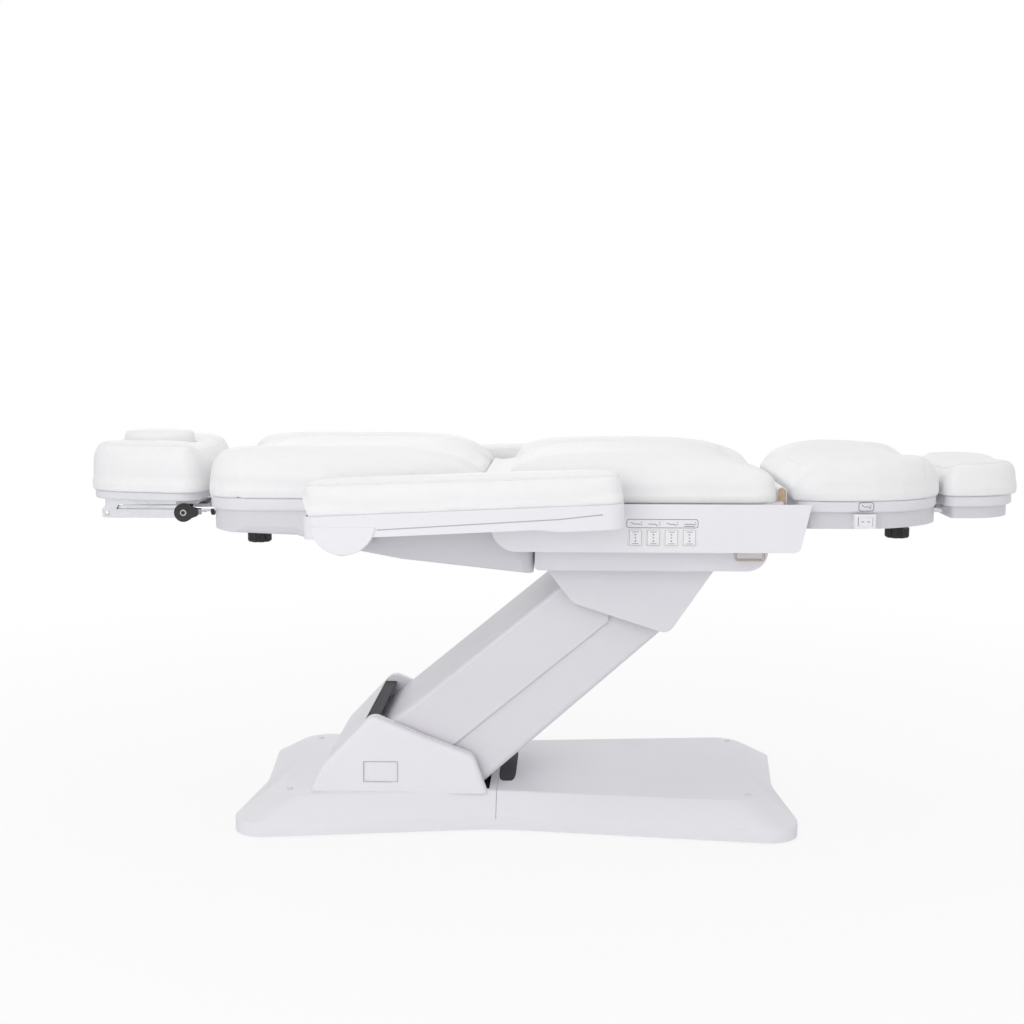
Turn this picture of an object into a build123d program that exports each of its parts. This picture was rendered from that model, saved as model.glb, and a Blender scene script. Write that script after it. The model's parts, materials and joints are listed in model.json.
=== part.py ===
from build123d import *
import os
from math import cos, radians, sin, sqrt

# Frame: +X runs to the foot end, +Y to the sitter's left, +Z up. The origin is on the
# floor, halfway along the chair. The sitter's head lies at -X.

# Fits and small shared sizes
overrun = 5
pin_gap = 0.05
slide_gap = 0.05
swing_gap = 0.6
washer_thickness = 1.6

# Base cover, its lobes, waist and sloping shoulder
base_head_end = -632
base_foot_end = 502
lobe_half = 303
waist_half = 226
base_seam_x = -103
end_hollow = 28
lobe_radius = 62
waist_radius = 420
hollow_radius = 260
skirt_lift = 3
skirt_height = 30
plate_height = 72
shoulder = 62
waist_shoulder = 36
cover_wall = 3.5
cover_joint = 0.8
plate_round = 7

# Cheeks that rise from the head half of the cover, one each side of the lift arm
cheek_start = -482
cheek_length = 360
cheek_rise = 157
cheek_outer = 206
cheek_inner = 180
cheek_knee_shares = (0.075, 0.32)
cheek_peak_share = 0.356
cheek_bend_shares = (0.644, 0.713)
cheek_tail_shares = (0.922, 0.471)
cheek_knee_radius = 60
cheek_peak_radius = 24
cheek_tail_radius = 28
cheek_crest_round = 9
cheek_panel_length = 69
cheek_panel_height = 42
cheek_panel_depth = 1.5
cheek_panel_x = -336
cheek_panel_z = 112
rear_wall = 6
rear_lip_x = -370
seal_reach = 24
seal_thickness = 4

# Steel frame in the base
foot_height = 6
foot_radius = 25
rail_half_inner = 128
rail_width = 40
rail_height = 24
base_rail_start = -560
base_rail_end = 430
cross_bar_width = 40
head_post_x = -522
head_post_y = 196
foot_post_x = 400
foot_post_y = 204
post_radius = 8
screw_radius = 4
screw_depth = 12
screw_head_radius = 6
screw_head_height = 2
control_box_start = 60
control_box_length = 240
control_box_height = 34
gland_x = -40
gland_radius = 8
gland_bore = 3.5
gland_nut_radius = 12
gland_nut_height = 8
gland_nut_gap = 4
gland_inside = 22
gland_outside = 20

# Parallelogram lift: two equal links between the base and the carriage
lift_angle = 39.4
link_length = 520
upper_pivot_x = -315
upper_pivot_z = 139
lower_pivot_x = -165
lower_pivot_z = 129
shaft_radius = 12
link_inner = 118
link_width = 20
link_depth = 36
ear_inner = 146
ear_thickness = 8
ear_radius = 20

# Covers on the links, the lower one nested inside the upper one
arm_wall = 4
upper_arm_half = 172
upper_arm_rise = 56
upper_arm_skirt = 62
upper_arm_tail = 60
upper_arm_nose = 20
top_wall_cutback = 8
arm_edge_round = 12
nest_gap = 3
lower_arm_depth = 59
lower_arm_taper = 18
lower_arm_tail = 30
lower_arm_cutback = 45
nest_rise = 81
nest_cutback = 72
nest_nose_rise = 20
cover_bracket_length = 40
cover_bracket_first = 120
cover_bracket_second = 360
arm_inner_round = 8
link_crown = 4

# Carriage and its shroud, with the place in the bed of the upper link's pivot
carriage_pivot_x = 86.8216
carriage_pivot_z = 469.0601
carriage_top = 530
carriage_plate = 6
carriage_cheek = 6
carriage_cheek_inner = 150
carriage_start = -20
carriage_end = 300
carriage_post_length = 30
carriage_post_width = 24
carriage_post_y = 60
rest_pad_height = 10
rest_pad_gap = 0.3
shroud_start = -8
shroud_length = 338
shroud_rise = 134
shroud_half = 200
shroud_wall = 4
shroud_rear_shares = (0.169, 0.46)
shroud_low_share = 0.728
shroud_rear_radius = 12
shroud_low_radius = 22
shroud_lip_rise = 16
tilt_pivot_x = -8
tilt_pivot_z = 545
tilt_pin_radius = 8
tilt_ear_inner = 120
tilt_ear_radius = 11.5

# Seat: shell, tray, frame, board and cushion
seat_shell_start = -108
seat_shell_end = 498
seat_shell_slant = 21
seat_shell_bottom = 575
seat_shell_top = 667
seat_shell_half = 310
seat_shell_wall = 4
seat_shell_rear_radius = 50
seat_shell_foot_radius = 14
seat_floor_start = -20
seat_floor_end = 440
under_start = -25
under_end = 424
under_half = 260
under_bottom = 532
under_wall = 3
under_foot_radius = 40
under_rear_radius = 8
under_opening_end = 300
under_opening_half = 202
floor_opening_half = 240
floor_opening_end = 400
seat_rail_inner = 262
seat_rail_outer = 294
seat_rail_start = -30
seat_rail_end = 430
seat_cross_width = 30
seat_board_bottom = 649
seat_board_thickness = 18
seat_board_start = -70
seat_board_end = 450
seat_board_half = 292
seat_cross_depth = 50
seat_cross_first = 0
seat_cross_middle = 200
seat_rail_depth = 70
seat_tube_wall = 4
tilt_lug_inner = 130
tilt_lug_thickness = 10
tilt_lug_half = 19
seat_pad_start = -93
seat_pad_end = 455
seat_pad_half = 300
seat_pad_rise = 90
seat_pad_valley = 16
seat_pad_corner = 45

# Hinge of the back section and hinge of the leg section
back_pivot_x = -105
back_pivot_z = 690
back_pin_radius = 8
hinge_plate = 8
hinge_disc = 14
leg_pivot_x = 458
leg_pivot_z = 640
leg_pin_radius = 6
leg_disc = 10

# Back section
back_start = -660
back_end = -94
back_half = 280
back_head_radius = 130
back_hinge_radius = 40
back_board_bottom = 627
back_board_thickness = 20
back_pad_rise = 121
back_pad_valley = 15
back_pan_inset = 12
back_pan_end = -40
back_pan_wall = 4
back_pan_depth = 101
back_pan_head_depth = 33
back_pan_shares = ((0.28, 0.39), (0.38, 0.57), (0.6, 0.78))
back_pan_side_round = 8
back_rail_inner = 196
back_rail_width = 30
back_rail_depth = 26
back_rail_start = -606
back_rail_end = -110
back_cross_width = 30
back_cross_x = -400
back_ear_length = 170

# Armrests, one each side, on pivots fixed to the back section
arm_pivot_x = -375
arm_pivot_z = 612
arm_tilt = 2
arm_inner = 325
arm_outer = 430
arm_back_reach = 74
arm_front_reach = 518
arm_shell_low = 2
arm_shell_high = 30
arm_shell_wall = 5
arm_tip_drop = 8
arm_tip_start = 400
arm_tip_slope = 40
arm_pad_rise = 79
arm_corner_share = 0.286
arm_pad_round_share = 0.21
arm_hub_radius = 30
arm_shaft_radius = 12
arm_boss_radius = 26
arm_boss_inner = 300
arm_hub_cap = 5
arm_plate_half = 40
arm_plate_lift = 13
arm_plate_round = 12

# Headrest
head_start = -963
head_end = -678
head_crown_half = 128
head_neck_half = 182
head_crown_radius = 85
head_neck_radius = 60
head_board_bottom = 652
head_board_thickness = 18
head_pad_rise = 101
head_pad_valley = 5
head_board_inset = 3
face_plug_x = -819
face_plug_length = 168
face_plug_width = 112
face_plug_proud = 16
face_plug_gap = 0.6
face_rim = 14
face_plug_round = 12
rod_radius = 8
rod_half = 70
rod_height = 630
head_rod_start = -736
head_rod_end = -470
head_arm_x = -752
head_arm_z = 622
head_rivet_x = -914
head_rivet_z = 624
head_bar_inner = 72
head_bar_thickness = 4
head_bar_half_depth = 13
head_strip_inner = 62
head_strip_thickness = 4
head_flange_inner = 79
head_flange_thickness = 3
head_flange_drop = 14
head_flange_lug = 12
head_strip_end = -770
head_strip_start = -918
head_cross_width = 24
head_pin_radius = 6
rivet_radius = 4
cam_radius = 22
cam_inner = 86
cam_width = 10
cam_reach = 34
cam_tip_radius = 7
cam_hub_radius = 9
guide_half = 12
guide_start = -655
guide_length = 95
guide_low = 619
guide_high = 643
clamp_depth = 8
slot_end_gap = 6
rod_eye_length = 26
rod_eye_half = 12
knob_radius = 25
knob_hub_radius = 12
knob_hub_height = 9
knob_height = 21
knob_groove_radius = 5
knob_grooves = 8
knob_bevel = 3
knob_screw_radius = 5
back_knob_x = -614
back_knob_bottom = 551
leg_knob_x = 724
leg_knob_bottom = 566

# Leg section
leg_start = 476
leg_end = 777
leg_half = 285
leg_corner = 190
leg_hinge_corner = 30
leg_board_bottom = 645
leg_board_thickness = 18
leg_board_inset = 2
leg_pad_rise = 91
leg_pad_valley = 16
leg_pan_inset = 14
leg_pan_depth = 28
leg_pan_wall = 3.5
leg_rail_inner = 236
leg_rail_width = 28
leg_rail_start = 496
leg_rail_end = 600
leg_ear_thickness = 8
leg_cross_width = 20
leg_ear_gap = 10
leg_strap_half = 10
leg_board_clear = 474
leg_clamp_start = 706
leg_clamp_length = 36

# Foot extension
foot_start = 783
foot_end = 963
foot_half = 150
foot_corner = 130
foot_heel_corner = 24
foot_pan_bottom = 622
foot_board_bottom = 645
foot_board_thickness = 23
foot_pad_rise = 59
foot_pad_valley = 6
foot_pan_inset = 12
foot_rod_start = 520
foot_rod_end = 850
foot_rod_half = 60
foot_rod_z = 634
foot_guide_start = 655
foot_guide_length = 90
foot_guide_half = 15
foot_pan_wall = 3.5

# Controls
button_x = 166.5
button_pitch = 34
button_count = 4
button_z = 603.5
button_width = 23
button_height = 29
button_depth = 11
button_proud = 2
button_crown = 1.5
button_gap = 0.9
button_pivot_radius = 3
carrier_thickness = 5
carrier_margin = 8
hook_start = 358
hook_end = 412
hook_y = -290
hook_drop = 16
hook_wire = 2.5
hook_bend = 6
hook_washer = 7
hook_washer_height = 3
switch_start = 580
switch_length = 42
switch_height = 27
switch_reach = 25
switch_round = 5
rocker_length = 26
rocker_height = 17
rocker_depth = 9
rocker_proud = 1.5
rocker_gap = 1
rocker_pivot_radius = 2
rocker_pivot_reach = 3

# Falls of the cushions towards their ends: the run, the share left at the end, the power
seat_start_run = 55
seat_slope_run = 150
seat_finish_run = 125
back_start_run = 60
back_finish_run = 200
head_end_run = 45
leg_start_run = 40
leg_finish_run = 70
foot_end_run = 35

# Flap of upholstery leather over the gap between the seat and leg cushions
flap_start = 457
flap_width = 15
flap_round = 6
flap_top = 695
flap_bottom = 658
flap_thickness = 2
flap_half = 245
flap_lip_drop = 8

# Shares of a cushion's length at which its cross sections stand
station_shares = (
    *(0, 0.006, 0.02, 0.045, 0.08, 0.13, 0.2, 0.32, 0.5),
    *(0.68, 0.8, 0.87, 0.92, 0.955, 0.98, 0.994, 1),
)

# Shares of a cushion's half width and height that shape its cross section
tuck_share = 0.045
side_height_share = 0.4
edge_share = 0.025
edge_height_share = 0.72
corner_share = 0.055
corner_height_share = 0.91
bolster_share = 0.135
bolster_height_share = 0.985
crest_width_share = 0.74
inner_width_share = 0.54
inner_drop_share = 0.6

# Share of the height left at each end of a cushion, and the power of its fall
seat_start_shares = (0.35, 2.5)
seat_slope_shares = (0.87, 2)
seat_finish_shares = (0.06, 2)
back_start_shares = (0.5, 2.5)
back_finish_shares = (0.06, 4)
head_end_shares = (0.5, 2.5)
leg_start_shares = (0.5, 2.5)
leg_finish_shares = (0.42, 2.5)
foot_end_shares = (0.5, 2.5)

os.makedirs("parts", exist_ok=True)


def traced(plane, corners):
    """A closed face from corners given as two places on the plane and a rounding radius."""
    places = [(across, up) for across, up, _ in corners]
    roundings = [radius for _, _, radius in corners]
    with BuildSketch(plane) as outline:
        with BuildLine():
            FilletPolyline(*places, radius=roundings, close=True)
        make_face()
    return outline.sketch


def side_plate(corners, low, high):
    """A plate with a side-view outline, from one place across the chair to another."""
    with BuildPart() as plate:
        extrude(traced(Plane.XZ.offset(-high), corners), amount=high - low)
    return plate.part


def side_pair(corners, inner, outer):
    """The same side-view plate on both sides of the centre plane."""
    with BuildPart() as pair:
        add(side_plate(corners, inner, outer))
        add(side_plate(corners, -outer, -inner))
    return pair.part


def cross_rod(x, z, radius, low, high):
    """A round bar across the chair."""
    with BuildPart() as rod:
        with BuildSketch(Plane.XZ.offset(-high)):
            with Locations((x, z)):
                Circle(radius)
        extrude(amount=high - low)
    return rod.part


def cross_pair(x, z, radius, inner, outer):
    """The same cross bar on both sides of the centre plane."""
    with BuildPart() as pair:
        add(cross_rod(x, z, radius, inner, outer))
        add(cross_rod(x, z, radius, -outer, -inner))
    return pair.part


def block(x_low, x_high, y_low, y_high, z_low, z_high):
    """A straight bar or slab between two corners."""
    with BuildPart() as slab:
        with BuildSketch(Plane.XY.offset(z_low)):
            with Locations(((x_low + x_high) / 2, (y_low + y_high) / 2)):
                Rectangle(x_high - x_low, y_high - y_low)
        extrude(amount=z_high - z_low)
    return slab.part


def block_pair(x_low, x_high, inner, outer, z_low, z_high):
    """The same bar on both sides of the centre plane."""
    with BuildPart() as pair:
        add(block(x_low, x_high, inner, outer, z_low, z_high))
        add(block(x_low, x_high, -outer, -inner, z_low, z_high))
    return pair.part


def upright(x, y, radius, z_low, z_high):
    """A round post along Z."""
    with BuildPart() as post:
        with BuildSketch(Plane.XY.offset(z_low)):
            with Locations((x, y)):
                Circle(radius)
        extrude(amount=z_high - z_low)
    return post.part


def rod_pair(x_low, x_high, half, z, radius):
    """Two round bars along X, one each side of the centre plane."""
    with BuildPart() as rods:
        with BuildSketch(Plane.YZ.offset(x_low)):
            with Locations((half, z), (-half, z)):
                Circle(radius)
        extrude(amount=x_high - x_low)
    return rods.part


def pad_outline(
    level, start, finish, start_half, finish_half, start_radius, finish_radius, inset=0
):
    """The plan of a cushion, board or pan: straight sides and two pairs of round corners."""
    near, far = start + inset, finish - inset
    first = max(start_radius - inset, inset)
    last = max(finish_radius - inset, inset)
    corners = [
        (near, inset - start_half, first),
        (far, inset - finish_half, last),
        (far, finish_half - inset, last),
        (near, start_half - inset, first),
    ]
    return traced(Plane.XY.offset(level), corners)


def plan_slab(level, thickness, outline, inset=0):
    """A flat layer with the plan of a cushion."""
    with BuildPart() as slab:
        extrude(pad_outline(level, *outline, inset=inset), amount=thickness)
    return slab.part


def half_width_at(x, start, finish, start_half, finish_half, start_radius, finish_radius):
    """Half width of a cushion's plan at one place along its length."""
    half = start_half + (finish_half - start_half) * (x - start) / (finish - start)
    for gap, radius in ((x - start, start_radius), (finish - x, finish_radius)):
        if gap < radius:
            half -= radius - sqrt(radius**2 - (radius - gap) ** 2)
    return half


def rise_at(x, rises):
    """Share of a cushion's full height at one place, from the falls towards its ends."""
    full = 1
    for place, run, end_share, power in rises:
        left = max(0, 1 - abs(x - place) / run)
        full *= end_share + (1 - end_share) * (1 - left**power)
    return full


def padded(outline, base, rise, valley, rises):
    """A cushion: crowned bolsters along both sides, a lower channel between, round ends."""
    start, finish = outline[:2]
    with BuildPart() as pad:
        for share in station_shares:
            x = start + (finish - start) * share
            half = half_width_at(x, *outline)
            full = rise_at(x, rises)
            height = rise * full
            dip = valley * full
            foot = (half - tuck_share * half * full, base)
            side = (half, base + side_height_share * height)
            edge = (half - edge_share * half * full, base + edge_height_share * height)
            corner = (half - corner_share * half * full, base + corner_height_share * height)
            outer = (half - bolster_share * half * full, base + bolster_height_share * height)
            crest = (crest_width_share * half, base + height)
            inner = (inner_width_share * half, base + height - inner_drop_share * dip)
            with BuildSketch(Plane.YZ.offset(x)):
                with BuildLine():
                    Line((-foot[0], base), foot)
                    ThreePointArc(foot, side, edge)
                    ThreePointArc(edge, corner, outer)
                    ThreePointArc(outer, crest, inner)
                    ThreePointArc(inner, (0, base + height - dip), (-inner[0], inner[1]))
                    for arc in ((inner, crest, outer), (outer, corner, edge), (edge, side, foot)):
                        ThreePointArc(*[(-across, up) for across, up in arc])
                make_face()
        loft(ruled=True)
    return pad.part


def inset_corner(before, corner, after, wall):
    """The corner of an outline that runs a wall's thickness to the right of another."""
    directions = [
        Vector(*corner[:2]) - Vector(*before[:2]),
        Vector(*after[:2]) - Vector(*corner[:2]),
    ]
    normals = [Vector(run.Y, -run.X).normalized() for run in directions]
    reach = wall / (1 + normals[0].dot(normals[1]))
    shift = (normals[0] + normals[1]) * reach
    return corner[0] + shift.X, corner[1] + shift.Y


def base_outline(level, inset, waist_inset):
    """The plan of the base: four round lobes with hollow sides between them."""
    head = base_head_end + inset
    foot = base_foot_end - inset
    lobe = lobe_half - inset
    waist = waist_half - waist_inset
    corners = [
        (head, -lobe, lobe_radius),
        (base_seam_x, -waist, waist_radius),
        (foot, -lobe, lobe_radius),
        (foot - end_hollow, 0, hollow_radius),
        (foot, lobe, lobe_radius),
        (base_seam_x, waist, waist_radius),
        (head, lobe, lobe_radius),
        (head + end_hollow, 0, hollow_radius),
    ]
    return traced(Plane.XY.offset(level), corners)


def base_form(shrink, bottom):
    """Upright skirt, sloping shoulder and flat top of the base, drawn in by a wall."""
    skirt_top = skirt_height - shrink
    with BuildPart() as form:
        extrude(base_outline(bottom, shrink, shrink), amount=skirt_top - bottom)
        loft(
            [
                base_outline(skirt_top, shrink, shrink),
                base_outline(
                    plate_height - shrink, shoulder + shrink, waist_shoulder + shrink
                ),
            ],
            ruled=True,
        )
    return form.part


# Side view of the cheeks
cheek_end = cheek_start + cheek_length
cheek_root = plate_height - cover_wall
cheek_foot = (cheek_start, cheek_root, 0)
cheek_knee = (
    cheek_start + cheek_knee_shares[0] * cheek_length,
    plate_height + cheek_knee_shares[1] * cheek_rise,
    cheek_knee_radius,
)
cheek_peak = (
    cheek_start + cheek_peak_share * cheek_length,
    plate_height + cheek_rise,
    cheek_peak_radius,
)
cheek_bend = (
    cheek_start + cheek_bend_shares[0] * cheek_length,
    plate_height + cheek_bend_shares[1] * cheek_rise,
    cheek_knee_radius,
)
cheek_tail = (
    cheek_start + cheek_tail_shares[0] * cheek_length,
    plate_height + cheek_tail_shares[1] * cheek_rise,
    cheek_tail_radius,
)
cheek_corners = [cheek_foot, cheek_knee, cheek_peak, cheek_bend, cheek_tail]
cheek_corners.append((cheek_end, cheek_root, 0))

# Slot between the cheeks for the lift arm, closed at the head side by a sloping wall
slot_top = plate_height + cheek_rise + overrun
slot_knee = inset_corner(cheek_foot, cheek_knee, cheek_peak, rear_wall)
rear_slope = (cheek_peak[1] - cheek_knee[1]) / (cheek_peak[0] - cheek_knee[0])
rear_lip_z = slot_knee[1] + rear_slope * (rear_lip_x - slot_knee[0])
slot_start = cheek_start + rear_wall
slot_end = cheek_end + cover_wall
slot_corners = [
    (slot_start, -overrun, 0),
    (slot_start, plate_height, 0),
    (*slot_knee, cheek_knee_radius - rear_wall),
    (rear_lip_x, rear_lip_z, 0),
    (rear_lip_x, slot_top, 0),
    (slot_end, slot_top, 0),
    (slot_end, -overrun, 0),
]

# Cheeks as one block with rounded crests, before the slot parts it
with BuildPart() as cheek_block:
    add(side_plate(cheek_corners, -cheek_outer, cheek_outer))
    sides = cheek_block.faces().filter_by(Axis.Y)
    rims = sides.edges().filter_by(lambda e: e.center().Z > cheek_root + overrun)
    fillet(rims, cheek_crest_round)

# Places of the posts that carry the base cover
post_places = [(head_post_x, -head_post_y), (head_post_x, head_post_y)]
post_places += [(foot_post_x, -foot_post_y), (foot_post_x, foot_post_y)]

# Base cover before it is parted at the waist
with BuildPart() as base_cover:
    add(base_form(0, skirt_lift))
    fillet(base_cover.edges().group_by(Axis.Z)[-1], plate_round)
    add(cheek_block.part)
    add(base_form(cover_wall, -overrun), mode=Mode.SUBTRACT)
    add(side_plate(slot_corners, -cheek_inner, cheek_inner), mode=Mode.SUBTRACT)
    for x, y in post_places:
        add(upright(x, y, screw_radius, cheek_root - overrun, slot_top), mode=Mode.SUBTRACT)

# Head half of the base cover, with a shallow panel let into each cheek
with BuildPart() as base_cover_head:
    add(base_cover.part)
    split(bisect_by=Plane.YZ.offset(base_seam_x - cover_joint / 2), keep=Keep.BOTTOM)
    add(
        block_pair(
            cheek_panel_x - cheek_panel_length / 2,
            cheek_panel_x + cheek_panel_length / 2,
            cheek_outer - cheek_panel_depth,
            cheek_outer + overrun,
            cheek_panel_z - cheek_panel_height / 2,
            cheek_panel_z + cheek_panel_height / 2,
        ),
        mode=Mode.SUBTRACT,
    )
base_cover_head.part.label = "base_cover_head"
export_step(base_cover_head.part, "parts/base_cover_head.step")

# Foot half of the base cover, with the hole for the mains lead's gland at its far side
gland_z = (skirt_lift + skirt_height) / 2
with BuildPart() as base_cover_foot:
    add(base_cover.part)
    split(bisect_by=Plane.YZ.offset(base_seam_x + cover_joint / 2), keep=Keep.TOP)
    add(
        cross_rod(gland_x, gland_z, gland_radius, waist_half / 2, lobe_half),
        mode=Mode.SUBTRACT,
    )
base_cover_foot.part.label = "base_cover_foot"
export_step(base_cover_foot.part, "parts/base_cover_foot.step")

# Strip of rubber that closes the gap over the end of the lift arm
seal_middle = rear_lip_z + (rear_wall * sqrt(1 + rear_slope**2) - seal_thickness) / 2
with BuildPart() as base_gap_seal:
    add(
        block(
            rear_lip_x,
            rear_lip_x + seal_reach,
            swing_gap - cheek_inner,
            cheek_inner - swing_gap,
            seal_middle,
            seal_middle + seal_thickness,
        )
    )
base_gap_seal.part.label = "base_gap_seal"
export_step(base_gap_seal.part, "parts/base_gap_seal.step")

# Steel frame in the base: two rails, cross bars, cover posts and the four pivot ears
frame_top = foot_height + rail_height
ear_outer = ear_inner + ear_thickness
rail_half_outer = rail_half_inner + rail_width
base_ear = [
    (upper_pivot_x - ear_radius, frame_top - rail_height, 0),
    (lower_pivot_x - ear_radius, frame_top - rail_height, 0),
    (lower_pivot_x - ear_radius, lower_pivot_z - ear_radius, 0),
    (lower_pivot_x, lower_pivot_z - ear_radius, 0),
    (lower_pivot_x, upper_pivot_z, 0),
    (upper_pivot_x - ear_radius, upper_pivot_z, 0),
]
with BuildPart() as base_frame:
    add(
        block_pair(
            base_rail_start, base_rail_end, rail_half_inner, rail_half_outer, foot_height, frame_top
        )
    )
    for x, half in ((head_post_x, head_post_y), (foot_post_x, foot_post_y)):
        reach = half + foot_radius
        wide = cross_bar_width / 2
        add(block(x - wide, x + wide, -reach, reach, foot_height, frame_top))
    for x, y in post_places:
        add(upright(x, y, post_radius, foot_height, cheek_root))
        add(
            upright(x, y, screw_radius, cheek_root - screw_depth, cheek_root),
            mode=Mode.SUBTRACT,
        )
    add(side_pair(base_ear, ear_inner, ear_outer))
    for x, z in ((upper_pivot_x, upper_pivot_z), (lower_pivot_x, lower_pivot_z)):
        add(cross_pair(x, z, ear_radius, ear_inner, ear_outer))
        add(cross_pair(x, z, shaft_radius, ear_inner, ear_outer), mode=Mode.SUBTRACT)
base_frame.part.label = "base_frame"
export_step(base_frame.part, "parts/base_frame.step")

# Rubber feet
with BuildPart() as base_feet:
    for x, y in post_places:
        add(upright(x, y, foot_radius, 0, foot_height))
base_feet.part.label = "base_feet"
export_step(base_feet.part, "parts/base_feet.step")

# Screws through the base cover
with BuildPart() as base_cover_screws:
    for x, y in post_places:
        add(upright(x, y, screw_radius, cheek_root - screw_depth, plate_height))
        add(upright(x, y, screw_head_radius, plate_height, plate_height + screw_head_height))
base_cover_screws.part.label = "base_cover_screws"
export_step(base_cover_screws.part, "parts/base_cover_screws.step")

# Gland for the mains lead, a bored tube with a nut each side of the skirt
flare_share = (gland_x - base_seam_x) / (base_foot_end - base_seam_x)
gland_y = waist_half + (lobe_half - waist_half) * flare_share
with BuildPart() as cord_gland:
    add(cross_rod(gland_x, gland_z, gland_radius, gland_y - gland_inside, gland_y + gland_outside))
    for y in (gland_y + gland_nut_gap, gland_y - cover_wall - gland_nut_gap - gland_nut_height):
        with BuildSketch(Plane.XZ.offset(-y)):
            with Locations((gland_x, gland_z)):
                RegularPolygon(gland_nut_radius, 6)
        extrude(amount=-gland_nut_height)
    add(
        cross_rod(
            gland_x, gland_z, gland_bore, gland_y - gland_inside, gland_y + gland_outside
        ),
        mode=Mode.SUBTRACT,
    )
cord_gland.part.label = "cord_gland"
export_step(cord_gland.part, "parts/cord_gland.step")

# Control box between the rails
with BuildPart() as control_box:
    add(
        block(
            control_box_start,
            control_box_start + control_box_length,
            -rail_half_inner,
            rail_half_inner,
            frame_top - rail_height / 2,
            frame_top - rail_height / 2 + control_box_height,
        )
    )
    fillet(control_box.edges().filter_by(Axis.Z), plate_round)
control_box.part.label = "control_box"
export_step(control_box.part, "parts/control_box.step")

# Directions along and square to the lift arm, and its four pivots
along = (cos(radians(lift_angle)), sin(radians(lift_angle)))
square = (-along[1], along[0])


def on_arm(pivot, distance, height, rounding=None):
    """A place in side view from its distance along a link and height over its line."""
    x = pivot[0] + distance * along[0] + height * square[0]
    z = pivot[1] + distance * along[1] + height * square[1]
    return (x, z) if rounding is None else (x, z, rounding)


def arm_outline(pivot, shape):
    """A side-view outline from distances along a link, heights over it and roundings."""
    return [on_arm(pivot, *corner) for corner in shape]


upper_pivot = (upper_pivot_x, upper_pivot_z)
lower_pivot = (lower_pivot_x, lower_pivot_z)
upper_end = on_arm(upper_pivot, link_length, 0)

# Shafts of the two lower pivots
with BuildPart() as base_pivot_shafts:
    for x, z in (upper_pivot, lower_pivot):
        reach = ear_outer + washer_thickness
        add(cross_rod(x, z, shaft_radius, -reach, reach))
base_pivot_shafts.part.label = "base_pivot_shafts"
export_step(base_pivot_shafts.part, "parts/base_pivot_shafts.step")


def lower_floor(distance):
    """Height of the lower cover's outer floor, which runs closer to its link at the top."""
    return lower_arm_taper * distance / link_length - lower_arm_depth


def link_frame(pivot, bracket_shapes):
    """Two bars with an eye at each end, joined by the brackets that carry a cover."""
    half = link_depth / 2
    bar = arm_outline(
        pivot,
        [
            (0, -half, 0),
            (link_length, -half, 0),
            (link_length, half, 0),
            (0, half, 0),
        ],
    )
    outer = link_inner + link_width
    ends = (pivot, on_arm(pivot, link_length, 0))
    with BuildPart() as link:
        add(side_pair(bar, link_inner, outer))
        for shape in bracket_shapes:
            add(side_plate(arm_outline(pivot, shape), -outer, outer))
        for x, z in ends:
            add(cross_pair(x, z, ear_radius, link_inner, outer))
            add(cross_pair(x, z, shaft_radius + pin_gap, link_inner, outer), mode=Mode.SUBTRACT)
    return link.part


# Upper link, its brackets rising to the top wall of the upper cover
upper_brackets = []
for distance in (cover_bracket_first, cover_bracket_second):
    upper_brackets.append(
        [
            (distance, link_depth / 2 - link_crown, 0),
            (distance + cover_bracket_length, link_depth / 2 - link_crown, 0),
            (distance + cover_bracket_length, upper_arm_rise - arm_wall, 0),
            (distance, upper_arm_rise - arm_wall, 0),
        ]
    )
with BuildPart() as upper_link:
    add(link_frame(upper_pivot, upper_brackets))
upper_link.part.label = "upper_link"
export_step(upper_link.part, "parts/upper_link.step")

# Lower link, its brackets reaching down to the floor of the lower cover
lower_brackets = []
for distance in (cover_bracket_first, cover_bracket_second):
    beyond = distance + cover_bracket_length
    lower_brackets.append(
        [
            (distance, lower_floor(distance) + arm_wall, 0),
            (beyond, lower_floor(beyond) + arm_wall, 0),
            (beyond, link_crown - link_depth / 2, 0),
            (distance, link_crown - link_depth / 2, 0),
        ]
    )
with BuildPart() as lower_link:
    add(link_frame(lower_pivot, lower_brackets))
lower_link.part.label = "lower_link"
export_step(lower_link.part, "parts/lower_link.step")

# Upper cover of the arm: a channel open below, its top wall cut back at the carriage
upper_tip = link_length - top_wall_cutback
upper_shape = [
    (-upper_arm_tail, -upper_arm_skirt, 0),
    (-upper_arm_tail, upper_arm_rise, 0),
    (upper_tip, upper_arm_rise, 0),
    (link_length + upper_arm_nose, upper_arm_rise / 2, arm_edge_round),
    (link_length + upper_arm_nose, -upper_arm_skirt / 2, arm_edge_round),
    (upper_tip, -upper_arm_skirt, 0),
]
upper_hollow = [
    (-upper_arm_tail - overrun, -upper_arm_skirt - overrun, 0),
    (-upper_arm_tail - overrun, upper_arm_rise - arm_wall, 0),
    (link_length + upper_arm_nose + overrun, upper_arm_rise - arm_wall, 0),
    (link_length + upper_arm_nose + overrun, -upper_arm_skirt - overrun, 0),
]


def channel(outline, hollow, half, at_top):
    """A channel between two side-view outlines, with rounded corners along its back."""
    with BuildPart() as core:
        add(side_plate(hollow, arm_wall - half, half - arm_wall))
        ends = core.edges().filter_by(GeomType.LINE)
        long_edges = ends.group_by(Edge.length)[-1].sort_by(Axis.Z)
        fillet(long_edges[-2:] if at_top else long_edges[:2], arm_inner_round)
    with BuildPart() as cover:
        add(side_plate(outline, -half, half))
        long_edges = cover.edges().filter_by(lambda e: e.length > link_length).sort_by(Axis.Z)
        fillet(long_edges[-2:] if at_top else long_edges[:2], arm_edge_round)
        add(core.part, mode=Mode.SUBTRACT)
    return cover.part


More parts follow.
